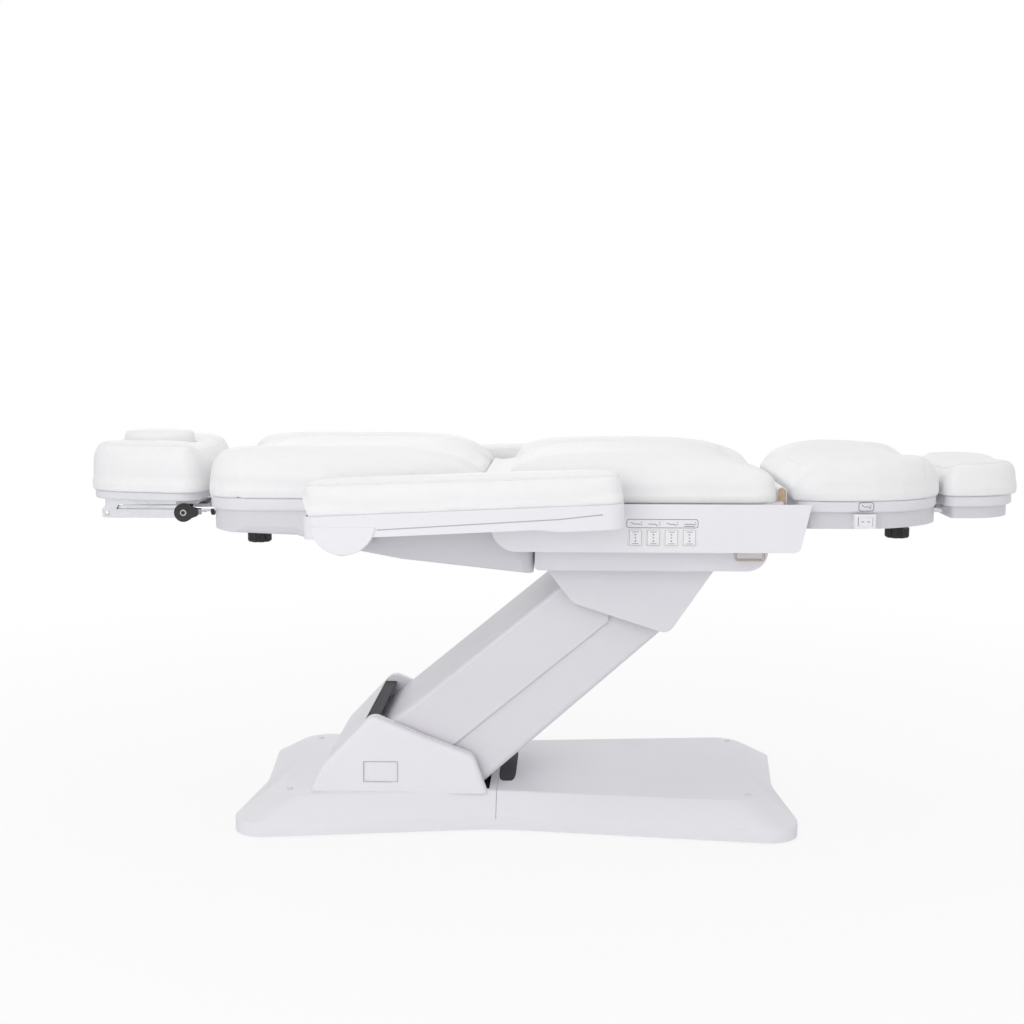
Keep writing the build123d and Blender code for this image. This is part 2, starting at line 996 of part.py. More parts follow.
with BuildPart() as upper_arm_cover:
    add(
        channel(
            arm_outline(upper_pivot, upper_shape),
            arm_outline(upper_pivot, upper_hollow),
            upper_arm_half,
            True,
        )
    )
upper_arm_cover.part.label = "upper_arm_cover"
export_step(upper_arm_cover.part, "parts/upper_arm_cover.step")

# Lower cover of the arm: a channel open above that slides inside the upper one
lower_shape = [
    (-lower_arm_tail, lower_floor(-lower_arm_tail), 0),
    (-lower_arm_tail, nest_rise, 0),
    (link_length - nest_cutback, nest_rise, 0),
    (link_length - lower_arm_cutback, nest_nose_rise, 0),
    (link_length - lower_arm_cutback, lower_floor(link_length - lower_arm_cutback), 0),
]
lower_hollow_start = -lower_arm_tail - overrun
lower_hollow_end = link_length + overrun
lower_hollow = [
    (lower_hollow_start, lower_floor(lower_hollow_start) + arm_wall, 0),
    (lower_hollow_start, nest_rise + overrun, 0),
    (lower_hollow_end, nest_rise + overrun, 0),
    (lower_hollow_end, lower_floor(lower_hollow_end) + arm_wall, 0),
]
lower_arm_half = upper_arm_half - arm_wall - nest_gap
with BuildPart() as lower_core:
    add(
        side_plate(
            arm_outline(lower_pivot, lower_hollow),
            arm_wall - lower_arm_half,
            lower_arm_half - arm_wall,
        )
    )
    runs = lower_core.edges().filter_by(lambda e: e.length > link_length).sort_by(Axis.Z)
    fillet(runs[:2], arm_inner_round)
with BuildPart() as lower_arm_cover:
    add(side_plate(arm_outline(lower_pivot, lower_shape), -lower_arm_half, lower_arm_half))
    low_run = link_length - lower_arm_cutback
    runs = lower_arm_cover.edges().filter_by(lambda e: e.length > low_run).sort_by(Axis.Z)
    fillet(runs[:2], arm_edge_round)
    add(lower_core.part, mode=Mode.SUBTRACT)
lower_arm_cover.part.label = "lower_arm_cover"
export_step(lower_arm_cover.part, "parts/lower_arm_cover.step")

# The bed is drawn about these two pivots of the carriage. Each piece of it is then moved
# to where the length and angle of the links put them.
carriage_upper = (carriage_pivot_x, carriage_pivot_z)
carriage_lower = (
    carriage_pivot_x + lower_pivot_x - upper_pivot_x,
    carriage_pivot_z + lower_pivot_z - upper_pivot_z,
)
bed_move = Location((upper_end[0] - carriage_pivot_x, 0, upper_end[1] - carriage_pivot_z))


def on_lift(piece):
    """A finished piece of the bed, moved to the upper ends of the links."""
    moved = piece.moved(bed_move)
    moved.label = piece.label
    return moved


# Carriage: cheek plates on the two upper pivots, a top plate, and the seat's tilt ears
carriage_bottom = carriage_top - carriage_plate
carriage_half = shroud_half - shroud_wall
cheek_plate = [
    (carriage_upper[0], carriage_bottom, 0),
    (carriage_upper[0], carriage_upper[1] - ear_radius, 0),
    (carriage_lower[0], carriage_lower[1] - ear_radius, 0),
    (carriage_lower[0] + ear_radius, carriage_lower[1], 0),
    (carriage_end, carriage_bottom, 0),
]
tilt_ear_outer = tilt_ear_inner + hinge_plate
tilt_ear = [
    (tilt_pivot_x - tilt_ear_radius, carriage_bottom, 0),
    (tilt_pivot_x + tilt_ear_radius, carriage_bottom, 0),
    (tilt_pivot_x + tilt_ear_radius, tilt_pivot_z, 0),
    (tilt_pivot_x - tilt_ear_radius, tilt_pivot_z, 0),
]
cross_bottom = seat_board_bottom - seat_cross_depth
carriage_cheek_outer = carriage_cheek_inner + carriage_cheek
with BuildPart() as carriage_frame:
    add(
        block(
            carriage_start,
            carriage_end,
            -carriage_half,
            carriage_half,
            carriage_bottom,
            carriage_top,
        )
    )
    add(side_pair(cheek_plate, carriage_cheek_inner, carriage_cheek_outer))
    for x, z in (carriage_upper, carriage_lower):
        add(cross_pair(x, z, ear_radius, carriage_cheek_inner, carriage_cheek_outer))
        add(
            cross_pair(x, z, shaft_radius, carriage_cheek_inner, carriage_cheek_outer),
            mode=Mode.SUBTRACT,
        )
    add(side_pair(tilt_ear, tilt_ear_inner, tilt_ear_outer))
    add(cross_pair(tilt_pivot_x, tilt_pivot_z, tilt_ear_radius, tilt_ear_inner, tilt_ear_outer))
    add(
        cross_pair(tilt_pivot_x, tilt_pivot_z, tilt_pin_radius, tilt_ear_inner, tilt_ear_outer),
        mode=Mode.SUBTRACT,
    )
    post_top = cross_bottom - rest_pad_gap - rest_pad_height
    add(
        block_pair(
            seat_cross_middle - carriage_post_length / 2,
            seat_cross_middle + carriage_post_length / 2,
            carriage_post_y,
            carriage_post_y + carriage_post_width,
            carriage_bottom,
            post_top,
        )
    )
carriage_frame.part.label = "carriage_frame"
export_step(on_lift(carriage_frame.part), "parts/carriage_frame.step")

# Rubber pads on the carriage that the level seat rests on
with BuildPart() as seat_rest_pads:
    add(
        block_pair(
            seat_cross_middle - carriage_post_length / 2,
            seat_cross_middle + carriage_post_length / 2,
            carriage_post_y,
            carriage_post_y + carriage_post_width,
            post_top,
            post_top + rest_pad_height,
        )
    )
seat_rest_pads.part.label = "seat_rest_pads"
export_step(on_lift(seat_rest_pads.part), "parts/seat_rest_pads.step")

# Shafts of the two upper pivots and the pins that the seat tilts on
tilt_lug_outer = tilt_lug_inner + tilt_lug_thickness
with BuildPart() as carriage_shafts:
    for x, z in (carriage_upper, carriage_lower):
        reach = carriage_cheek_outer + washer_thickness
        add(cross_rod(x, z, shaft_radius, -reach, reach))
    add(
        cross_pair(
            tilt_pivot_x,
            tilt_pivot_z,
            tilt_pin_radius,
            tilt_ear_inner,
            tilt_lug_outer + washer_thickness,
        )
    )
carriage_shafts.part.label = "carriage_shafts"
export_step(on_lift(carriage_shafts.part), "parts/carriage_shafts.step")

# Shroud of the carriage: two side walls and the sloping wall at the foot side
shroud_end = shroud_start + shroud_length
shroud_bottom = carriage_top - shroud_rise
shroud_low_x = shroud_start + shroud_low_share * shroud_length
shroud_lip_z = shroud_bottom + shroud_lip_rise
shroud_corners = [
    (shroud_start, carriage_top, 0),
    (
        shroud_start + shroud_rear_shares[0] * shroud_length,
        shroud_bottom + shroud_rear_shares[1] * shroud_rise,
        shroud_rear_radius,
    ),
    (shroud_low_x, shroud_bottom, shroud_low_radius),
    (shroud_end, carriage_top, 0),
]
shroud_low = shroud_corners[2]
shroud_slope = (shroud_end - shroud_low_x) / shroud_rise
wall_run = shroud_wall * sqrt(1 + shroud_slope**2)
shroud_hollow = [
    (shroud_start - overrun, carriage_top + overrun, 0),
    (shroud_start - overrun, shroud_bottom - overrun, 0),
    (shroud_end, shroud_bottom - overrun, 0),
    (shroud_end, shroud_lip_z, 0),
    (shroud_low_x + shroud_slope * shroud_lip_rise - wall_run, shroud_lip_z, 0),
    (shroud_end + shroud_slope * overrun - wall_run, carriage_top + overrun, 0),
]
with BuildPart() as upper_shroud:
    add(side_plate(shroud_corners, -shroud_half, shroud_half))
    add(side_plate(shroud_hollow, -carriage_half, carriage_half), mode=Mode.SUBTRACT)
upper_shroud.part.label = "upper_shroud"
export_step(on_lift(upper_shroud.part), "parts/upper_shroud.step")

# Steel frame of the seat: open-ended box rails, cross bars, tilt lugs and leg hinge ears
seat_rail_top = seat_board_bottom
seat_rail_bottom = seat_rail_top - seat_rail_depth
leg_ear_inner = leg_rail_inner + leg_rail_width - leg_ear_thickness
leg_ear_outer = leg_rail_inner + leg_rail_width
seat_leg_ear_inner = leg_ear_outer + leg_ear_gap
seat_leg_ear_outer = seat_leg_ear_inner + leg_ear_thickness
tilt_lug = [
    (tilt_pivot_x - tilt_ear_radius, tilt_pivot_z, 0),
    (tilt_pivot_x + tilt_ear_radius, tilt_pivot_z, 0),
    (tilt_pivot_x + tilt_lug_half, cross_bottom + overrun, 0),
    (tilt_pivot_x - tilt_ear_radius, cross_bottom + overrun, 0),
]
seat_leg_ear = [
    (seat_rail_end - seat_cross_width, seat_rail_top, 0),
    (seat_rail_end - seat_cross_width, seat_rail_top - leg_strap_half * 2, 0),
    (leg_pivot_x, leg_pivot_z - leg_disc, 0),
    (leg_pivot_x, seat_rail_top, 0),
]

# Straps on the rails that carry the hinge of the back section
strap_inner = seat_rail_outer
strap_outer = seat_rail_outer + hinge_plate
strap_low = seat_board_bottom - back_board_thickness / 2
back_strap = [
    (back_pivot_x - hinge_disc, back_pivot_z, 0),
    (back_pivot_x - hinge_disc, strap_low, hinge_disc),
    (seat_rail_start, seat_rail_bottom + seat_tube_wall, 0),
    (seat_cross_width * 2, seat_rail_bottom + seat_tube_wall, 0),
    (seat_cross_width * 2, seat_rail_top, 0),
    (seat_board_start, seat_rail_top + seat_tube_wall, 0),
    (back_pivot_x + hinge_disc, back_pivot_z, 0),
]
with BuildPart() as seat_frame:
    add(
        block_pair(
            seat_rail_start,
            seat_rail_end,
            seat_rail_inner,
            seat_rail_outer,
            seat_rail_bottom,
            seat_rail_top,
        )
    )
    add(
        block_pair(
            seat_rail_start - overrun,
            seat_rail_end + overrun,
            seat_rail_inner + seat_tube_wall,
            seat_rail_outer - seat_tube_wall,
            seat_rail_bottom + seat_tube_wall,
            seat_rail_top - seat_tube_wall,
        ),
        mode=Mode.SUBTRACT,
    )
    wide = seat_cross_width / 2
    for x in (seat_cross_first, seat_cross_middle, seat_rail_end - wide):
        add(
            block(x - wide, x + wide, -seat_rail_inner, seat_rail_inner, cross_bottom, seat_rail_top)
        )
    add(side_pair(tilt_lug, tilt_lug_inner, tilt_lug_outer))
    add(cross_pair(tilt_pivot_x, tilt_pivot_z, tilt_ear_radius, tilt_lug_inner, tilt_lug_outer))
    add(
        cross_pair(
            tilt_pivot_x, tilt_pivot_z, tilt_pin_radius + pin_gap, tilt_lug_inner, tilt_lug_outer
        ),
        mode=Mode.SUBTRACT,
    )
    add(side_pair(seat_leg_ear, seat_leg_ear_inner, seat_leg_ear_outer))
    add(cross_pair(leg_pivot_x, leg_pivot_z, leg_disc, seat_leg_ear_inner, seat_leg_ear_outer))
    add(
        cross_pair(
            leg_pivot_x, leg_pivot_z, leg_pin_radius, seat_leg_ear_inner, seat_leg_ear_outer
        ),
        mode=Mode.SUBTRACT,
    )
    add(side_pair(back_strap, strap_inner, strap_outer))
    add(cross_pair(back_pivot_x, back_pivot_z, hinge_disc, strap_inner, strap_outer))
    add(
        cross_pair(back_pivot_x, back_pivot_z, back_pin_radius, strap_inner, strap_outer),
        mode=Mode.SUBTRACT,
    )
seat_frame.part.label = "seat_frame"
export_step(on_lift(seat_frame.part), "parts/seat_frame.step")

# Hinge pins of the back and leg sections
with BuildPart() as hinge_pins:
    add(
        cross_pair(
            back_pivot_x,
            back_pivot_z,
            back_pin_radius,
            back_half + washer_thickness,
            strap_outer,
        )
    )
    add(
        cross_pair(
            leg_pivot_x,
            leg_pivot_z,
            leg_pin_radius,
            leg_ear_inner - washer_thickness,
            seat_leg_ear_outer,
        )
    )
hinge_pins.part.label = "hinge_pins"
export_step(on_lift(hinge_pins.part), "parts/hinge_pins.step")

# Seat shell: a floor with side walls, open at the head and foot ends
seat_shell_corners = [
    (seat_shell_start, seat_shell_top, 0),
    (seat_shell_start, seat_shell_bottom, seat_shell_rear_radius),
    (seat_shell_end - seat_shell_slant, seat_shell_bottom, seat_shell_foot_radius),
    (seat_shell_end, seat_shell_top, 0),
]
seat_shell_inner = seat_shell_half - seat_shell_wall
floor_top = seat_shell_bottom + seat_shell_wall
button_centres = [button_x + button_pitch * place for place in range(button_count)]
window_half_width = button_width / 2 + button_gap
window_half_height = button_height / 2 + button_gap
with BuildPart() as seat_shell:
    add(side_pair(seat_shell_corners, seat_shell_inner, seat_shell_half))
    add(
        block(
            seat_floor_start,
            seat_floor_end,
            -seat_shell_inner,
            seat_shell_inner,
            seat_shell_bottom,
            floor_top,
        )
    )
    add(
        block(
            seat_floor_start - overrun,
            floor_opening_end,
            -floor_opening_half,
            floor_opening_half,
            seat_shell_bottom - overrun,
            floor_top + overrun,
        ),
        mode=Mode.SUBTRACT,
    )
    for x in button_centres:
        add(
            block(
                x - window_half_width,
                x + window_half_width,
                -seat_shell_half - overrun,
                overrun - seat_shell_inner,
                button_z - window_half_height,
                button_z + window_half_height,
            ),
            mode=Mode.SUBTRACT,
        )
seat_shell.part.label = "seat_shell"
export_step(on_lift(seat_shell.part), "parts/seat_shell.step")

# Tray under the seat, open in the middle for the carriage
under_corners = [
    (under_start, seat_shell_bottom, 0),
    (under_start, under_bottom, under_rear_radius),
    (under_end, under_bottom, under_foot_radius),
    (under_end, seat_shell_bottom, 0),
]
under_hollow = [
    (under_start + under_wall, seat_shell_bottom + overrun, 0),
    (under_start + under_wall, under_bottom + under_wall, under_rear_radius - under_wall),
    (under_end - under_wall, under_bottom + under_wall, under_foot_radius - under_wall),
    (under_end - under_wall, seat_shell_bottom + overrun, 0),
]
with BuildPart() as seat_under_cover:
    add(side_plate(under_corners, -under_half, under_half))
    add(
        side_plate(under_hollow, under_wall - under_half, under_half - under_wall),
        mode=Mode.SUBTRACT,
    )
    add(
        block(
            under_start - overrun,
            under_opening_end,
            -under_opening_half,
            under_opening_half,
            under_bottom - overrun,
            seat_shell_bottom - under_rear_radius,
        ),
        mode=Mode.SUBTRACT,
    )
seat_under_cover.part.label = "seat_under_cover"
export_step(on_lift(seat_under_cover.part), "parts/seat_under_cover.step")

# Seat board and cushion
seat_board_top = seat_board_bottom + seat_board_thickness
seat_pad = (
    seat_pad_start,
    seat_pad_end,
    seat_pad_half,
    seat_pad_half,
    seat_pad_corner,
    seat_pad_corner,
)
with BuildPart() as seat_board:
    add(
        block(
            seat_board_start,
            seat_board_end,
            -seat_board_half,
            seat_board_half,
            seat_board_bottom,
            seat_board_top,
        )
    )
    fillet(seat_board.edges().filter_by(Axis.Z), seat_board_thickness)
seat_board.part.label = "seat_board"
export_step(on_lift(seat_board.part), "parts/seat_board.step")

seat_rises = [
    (seat_pad_start, seat_start_run, *seat_start_shares),
    (seat_pad_start, seat_slope_run, *seat_slope_shares),
    (seat_pad_end, seat_finish_run, *seat_finish_shares),
]
with BuildPart() as seat_cushion:
    add(padded(seat_pad, seat_board_top, seat_pad_rise, seat_pad_valley, seat_rises))
seat_cushion.part.label = "seat_cushion"
export_step(on_lift(seat_cushion.part), "parts/seat_cushion.step")

# Carrier of the hand buttons: a plate on the seat rail with posts for their pivot bar
carrier_face = -seat_rail_outer - carrier_thickness
button_front = -seat_shell_half - button_proud
button_back = button_front + button_depth
pivot_y = swing_gap + button_pivot_radius - seat_shell_inner
carrier_start = button_centres[0] - button_width / 2 - carrier_margin
carrier_end = button_centres[-1] + button_width / 2 + carrier_margin
with BuildPart() as switch_carrier:
    add(
        block(
            carrier_start,
            carrier_end,
            carrier_face,
            -seat_rail_outer,
            button_z - button_height / 2 - carrier_margin / 2,
            button_z + button_height / 2 + carrier_margin,
        )
    )
    for x in (
        carrier_start + carrier_margin / 2,
        *[x + button_pitch / 2 for x in button_centres[:-1]],
        carrier_end - carrier_margin / 2,
    ):
        add(
            block(
                x - carrier_margin / 4,
                x + carrier_margin / 4,
                pivot_y - button_pivot_radius,
                carrier_face,
                button_z - button_pivot_radius,
                button_z + button_pivot_radius,
            )
        )
    with BuildSketch(Plane.YZ.offset(carrier_start + carrier_margin / 4)):
        with Locations((pivot_y, button_z)):
            Circle(button_pivot_radius)
    extrude(amount=carrier_end - carrier_start - carrier_margin / 2)
switch_carrier.part.label = "switch_carrier"
export_step(on_lift(switch_carrier.part), "parts/switch_carrier.step")


def hand_button(x):
    """One rocking button with a bore for the shared pivot bar."""
    with BuildPart() as button:
        add(
            block(
                x - button_width / 2,
                x + button_width / 2,
                button_front,
                button_back,
                button_z - button_height / 2,
                button_z + button_height / 2,
            )
        )
        fillet(button.faces().sort_by(Axis.Y)[0].edges(), button_crown)
        with BuildSketch(Plane.YZ.offset(x - button_width)):
            with Locations((pivot_y, button_z)):
                Circle(button_pivot_radius + pin_gap)
        extrude(amount=button_width * 2, mode=Mode.SUBTRACT)
    return button.part


# Four hand buttons in a row
with BuildPart() as button_1:
    add(hand_button(button_centres[0]))
button_1.part.label = "button_1"
export_step(on_lift(button_1.part), "parts/button_1.step")

with BuildPart() as button_2:
    add(hand_button(button_centres[1]))
button_2.part.label = "button_2"
export_step(on_lift(button_2.part), "parts/button_2.step")

with BuildPart() as button_3:
    add(hand_button(button_centres[2]))
button_3.part.label = "button_3"
export_step(on_lift(button_3.part), "parts/button_3.step")

with BuildPart() as button_4:
    add(hand_button(button_centres[3]))
button_4.part.label = "button_4"
export_step(on_lift(button_4.part), "parts/button_4.step")

# Wire hook under the seat shell, with a washer at each end
hook_path = [
    (hook_start, seat_shell_bottom),
    (hook_start, seat_shell_bottom - hook_drop),
    (hook_end, seat_shell_bottom - hook_drop),
    (hook_end, seat_shell_bottom),
]
with BuildPart() as remote_hook:
    with BuildLine(Plane.XZ.offset(-hook_y)) as hook_route:
        FilletPolyline(*hook_path, radius=hook_bend)
    with BuildSketch(Plane(origin=hook_route.wires()[0] @ 0, z_dir=(0, 0, -1))):
        Circle(hook_wire)
    sweep(path=hook_route.wires()[0])
    for x in (hook_start, hook_end):
        with BuildSketch(Plane.XY.offset(seat_shell_bottom)):
            with Locations((x, hook_y)):
                Circle(hook_washer)
        extrude(amount=-hook_washer_height, taper=45 / 2)
remote_hook.part.label = "remote_hook"
export_step(on_lift(remote_hook.part), "parts/remote_hook.step")

# Leather flap that bridges the gap between the seat and leg cushions
flap_end = flap_start + flap_width
flap_outer = [
    (seat_board_end, flap_bottom - flap_lip_drop, 0),
    (flap_start + flap_thickness, flap_bottom - flap_lip_drop, 0),
    (flap_start + flap_thickness, flap_top - flap_thickness, 0),
    (flap_end - flap_thickness, flap_top - flap_thickness, 0),
    (flap_end - flap_thickness, flap_bottom, 0),
    (flap_end, flap_bottom, 0),
    (flap_end, flap_top, flap_round),
    (flap_start, flap_top, flap_round),
    (flap_start, flap_bottom - flap_lip_drop + flap_thickness, 0),
    (seat_board_end, flap_bottom - flap_lip_drop + flap_thickness, 0),
]
with BuildPart() as gap_flap:
    add(side_plate(flap_outer, -flap_half, flap_half))
gap_flap.part.label = "gap_flap"
export_step(on_lift(gap_flap.part), "parts/gap_flap.step")

# Outlines in plan of the back section's board and cushion
back_pad = (back_start, back_end, back_half, back_half, back_head_radius, back_hinge_radius)
back_board_top = back_board_bottom + back_board_thickness
back_rises = [
    (back_start, back_start_run, *back_start_shares),
    (back_end, back_finish_run, *back_finish_shares),
]
rod_slot_low = rod_half - guide_half
rod_slot_high = rod_half + guide_half
slot_finish = head_rod_end + slot_end_gap

# Board of the back section, with two slots below for the headrest rods and their guides
with BuildPart() as back_board:
    add(plan_slab(back_board_bottom, back_board_thickness, back_pad))
    add(
        block_pair(
            back_start - overrun,
            slot_finish,
            rod_slot_low,
            rod_slot_high,
            back_board_bottom - overrun,
            guide_high,
        ),
        mode=Mode.SUBTRACT,
    )
back_board.part.label = "back_board"
export_step(on_lift(back_board.part), "parts/back_board.step")

with BuildPart() as back_cushion:
    add(padded(back_pad, back_board_top, back_pad_rise, back_pad_valley, back_rises))
back_cushion.part.label = "back_cushion"
export_step(on_lift(back_cushion.part), "parts/back_cushion.step")


def back_pan_form(shrink):
    """The back pan's belly, deeper towards the seat, drawn in by a wall."""
    start = back_start + back_pan_inset + shrink
    finish = back_pan_end - shrink
    length = finish - start
    corners = [
        (start, back_board_bottom + (overrun if shrink else 0), 0),
        (start, back_board_bottom - back_pan_head_depth + shrink, 0),
    ]
    for along_share, depth_share in back_pan_shares:
        depth = depth_share * back_pan_depth - shrink
        corners.append((start + along_share * length, back_board_bottom - depth, 0))
    corners.append((finish, back_board_bottom - back_pan_depth + shrink, 0))
    corners.append((finish, back_board_bottom + (overrun if shrink else 0), 0))
    reach = back_half - back_pan_inset - shrink
    plan = (
        start - back_pan_inset - shrink,
        finish + back_pan_inset + shrink,
        back_half,
        back_half,
        back_head_radius,
        back_hinge_radius,
    )
    with BuildPart() as form:
        add(side_plate(corners, -reach, reach))
        bottom = form.edges().filter_by(lambda e: abs(e.center().Y) > reach - shrink / 2 - slide_gap)
        sides = bottom.filter_by(lambda e: e.center().Z < back_board_bottom - back_pan_head_depth)
        fillet(sides.filter_by(lambda e: e.bounding_box().size.X > overrun), back_pan_side_round)
        add(
            plan_slab(
                back_board_bottom - back_pan_depth - overrun,
                back_pan_depth + overrun * 2,
                plan,
                back_pan_inset + shrink,
            ),
            mode=Mode.INTERSECT,
        )
    return form.part


# Pan under the back section, notched for the rods and bored for the knob's screw
knob_bore = knob_screw_radius + pin_gap
clamp_bottom = guide_low - clamp_depth
with BuildPart() as back_pan:
    add(back_pan_form(0))
    add(back_pan_form(back_pan_wall), mode=Mode.SUBTRACT)
    add(
        block_pair(
            back_start,
            back_start + back_pan_inset * 2,
            rod_slot_low,
            rod_slot_high,
            rod_height - guide_half,
            back_board_bottom + overrun,
        ),
        mode=Mode.SUBTRACT,
    )
    add(
        upright(back_knob_x, 0, knob_bore, back_knob_bottom, back_board_bottom),
        mode=Mode.SUBTRACT,
    )
back_pan.part.label = "back_pan"
export_step(on_lift(back_pan.part), "parts/back_pan.step")

# Steel frame of the back section with the guides of the headrest rods
back_rail_outer = back_rail_inner + back_rail_width
back_rail_low = back_board_bottom - back_rail_depth
guide_end = guide_start + guide_length
with BuildPart() as back_frame:
    add(
        block_pair(
            back_rail_start,
            back_rail_end,
            back_rail_inner,
            back_rail_outer,
            back_rail_low,
            back_board_bottom,
        )
    )
    for x in (back_cross_x, back_rail_end):
        add(
            block(
                x - back_cross_width,
                x,
                -back_rail_outer,
                back_rail_outer,
                back_rail_low,
                back_board_bottom,
            )
        )
    add(
        block(
            back_rail_start,
            guide_end,
            -back_rail_outer,
            back_rail_outer,
            clamp_bottom,
            guide_low,
        )
    )
    for middle in (-rod_half, rod_half):
        add(
            block(
                back_rail_start - guide_half,
                guide_end,
                middle - guide_half,
                middle + guide_half,
                guide_low,
                guide_high,
            )
        )
    add(
        rod_pair(
            back_rail_start - guide_length,
            guide_end + guide_length,
            rod_half,
            rod_height,
            rod_radius + slide_gap,
        ),
        mode=Mode.SUBTRACT,
    )
    add(
        upright(back_knob_x, 0, knob_bore, clamp_bottom - overrun, guide_high),
        mode=Mode.SUBTRACT,
    )
back_frame.part.label = "back_frame"
export_step(on_lift(back_frame.part), "parts/back_frame.step")

# Hinge plates of the back section along the edge of its board
back_plate = [
    (back_pivot_x - back_ear_length, back_board_bottom, hinge_disc / 2),
    (back_pivot_x + hinge_disc, back_board_bottom, hinge_disc / 2),
    (back_pivot_x + hinge_disc, back_pivot_z, 0),
    (back_pivot_x - hinge_disc, back_pivot_z, 0),
    (back_pivot_x - hinge_disc, back_board_top, hinge_disc / 2),
    (back_pivot_x - back_ear_length, back_board_top, hinge_disc / 2),
]
back_plate_outer = back_half + hinge_plate
with BuildPart() as back_hinge_plates:
    add(side_pair(back_plate, back_half, back_plate_outer))
    add(cross_pair(back_pivot_x, back_pivot_z, hinge_disc, back_half, back_plate_outer))
    add(
        cross_pair(
            back_pivot_x, back_pivot_z, back_pin_radius + pin_gap, back_half, back_plate_outer
        ),
        mode=Mode.SUBTRACT,
    )
back_hinge_plates.part.label = "back_hinge_plates"
export_step(on_lift(back_hinge_plates.part), "parts/back_hinge_plates.step")


def fluted_knob(x, bottom, screw_top):
    """A fluted clamping knob with a hub and a screw above it."""
    top = bottom + knob_height
    with BuildPart() as knob:
        with BuildSketch(Plane.XY.offset(bottom)):
            with Locations((x, 0)):
                Circle(knob_radius)
                with PolarLocations(knob_radius + knob_groove_radius / 2, knob_grooves):
                    Circle(knob_groove_radius, mode=Mode.SUBTRACT)
        extrude(amount=knob_height)
        chamfer(knob.faces().filter_by(Axis.Z).sort_by(Axis.Z)[0].edges(), knob_bevel)
        add(upright(x, 0, knob_hub_radius, top, top + knob_hub_height))
        add(upright(x, 0, knob_screw_radius, top, screw_top))
    return knob.part


# Knob that clamps the headrest rods
with BuildPart() as back_knob:
    add(fluted_knob(back_knob_x, back_knob_bottom, guide_low))
back_knob.part.label = "back_knob"
export_step(on_lift(back_knob.part), "parts/back_knob.step")

# Armrests. Each hub turns on a stub fixed to the edge of the back section.
arm_bracket = [
    (arm_pivot_x - arm_plate_half, arm_pivot_z - arm_plate_half + arm_plate_lift, arm_plate_round),
    (arm_pivot_x + arm_plate_half, arm_pivot_z - arm_plate_half + arm_plate_lift, arm_plate_round),
    (arm_pivot_x + arm_plate_half, back_board_top, 0),
    (arm_pivot_x - arm_plate_half, back_board_top, 0),
]
stub_end = arm_outer - arm_hub_cap * 3
with BuildPart() as armrest_brackets:
    add(side_plate(arm_bracket, -back_plate_outer, -back_half))
    add(
        cross_rod(
            arm_pivot_x,
            arm_pivot_z,
            arm_boss_radius,
            swing_gap - arm_boss_inner,
            -back_plate_outer,
        )
    )
    add(cross_rod(arm_pivot_x, arm_pivot_z, arm_shaft_radius, -stub_end, -back_plate_outer))
    mirror(armrest_brackets.part, about=Plane.XZ)
armrest_brackets.part.label = "armrest_brackets"
export_step(on_lift(armrest_brackets.part), "parts/armrest_brackets.step")

arm_lean = (cos(radians(arm_tilt)), 0, sin(radians(arm_tilt)))
arm_plane = Plane(
    origin=(arm_pivot_x, -(arm_inner + arm_outer) / 2, arm_pivot_z),
    x_dir=arm_lean,
    z_dir=(-arm_lean[2], 0, arm_lean[0]),
)
arm_length = arm_back_reach + arm_front_reach
arm_middle = (arm_front_reach - arm_back_reach) / 2
arm_width = arm_outer - arm_inner
arm_corner = arm_corner_share * arm_width
arm_pad_round = arm_pad_round_share * arm_width


def arm_layer(low, high, wall=0):
    """A layer of an armrest with its rounded plan, between two heights over the pivot."""
    with BuildPart() as layer:
        with BuildSketch(arm_plane.offset(low)):
            with Locations((arm_middle, 0)):
                RectangleRounded(arm_length - wall * 2, arm_width - wall * 2, arm_corner - wall)
        extrude(amount=high - low)
    return layer.part


def arm_side(shape, low, high):
    """A plate across the armrest from an outline along its length and height."""
    corners = []
    for along_arm, up in shape:
        x = arm_pivot_x + along_arm * arm_lean[0] - up * arm_lean[2]
        z = arm_pivot_z + along_arm * arm_lean[2] + up * arm_lean[0]
        corners.append((x, z, 0))
    return side_plate(corners, low, high)


# Armrest shell: a shallow tray, deeper at its tip, with the hub across its back end
arm_low = arm_shell_low - arm_tip_drop
arm_undercut = [
    (-arm_back_reach - overrun, arm_low - overrun),
    (arm_tip_start, arm_low - overrun),
    (arm_tip_start, arm_low),
    (arm_tip_start - arm_tip_slope, arm_shell_low),
    (-arm_back_reach - overrun, arm_shell_low),
]
with BuildPart() as armrest_right_shell:
    add(arm_layer(arm_low, arm_shell_high))
    add(arm_layer(arm_shell_low + arm_shell_wall, arm_shell_high, arm_shell_wall), mode=Mode.SUBTRACT)
    add(arm_side(arm_undercut, -arm_outer - overrun, overrun - arm_inner), mode=Mode.SUBTRACT)
    add(
        cross_rod(
            arm_pivot_x, arm_pivot_z, arm_hub_radius, -arm_outer + arm_hub_cap, -arm_boss_inner
        )
    )
    add(
        arm_side(
            [
                (-arm_hub_radius, arm_shell_high),
                (arm_hub_radius, arm_shell_high),
                (arm_hub_radius, arm_shell_high + overrun),
                (-arm_hub_radius, arm_shell_high + overrun),
            ],
            -arm_outer,
            -arm_boss_inner,
        ),
        mode=Mode.SUBTRACT,
    )
    add(
        cross_rod(
            arm_pivot_x,
            arm_pivot_z,
            arm_shaft_radius + pin_gap,
            -stub_end - swing_gap,
            -arm_boss_inner,
        ),
        mode=Mode.SUBTRACT,
    )
armrest_right_shell.part.label = "armrest_right_shell"
export_step(on_lift(armrest_right_shell.part), "parts/armrest_right_shell.step")

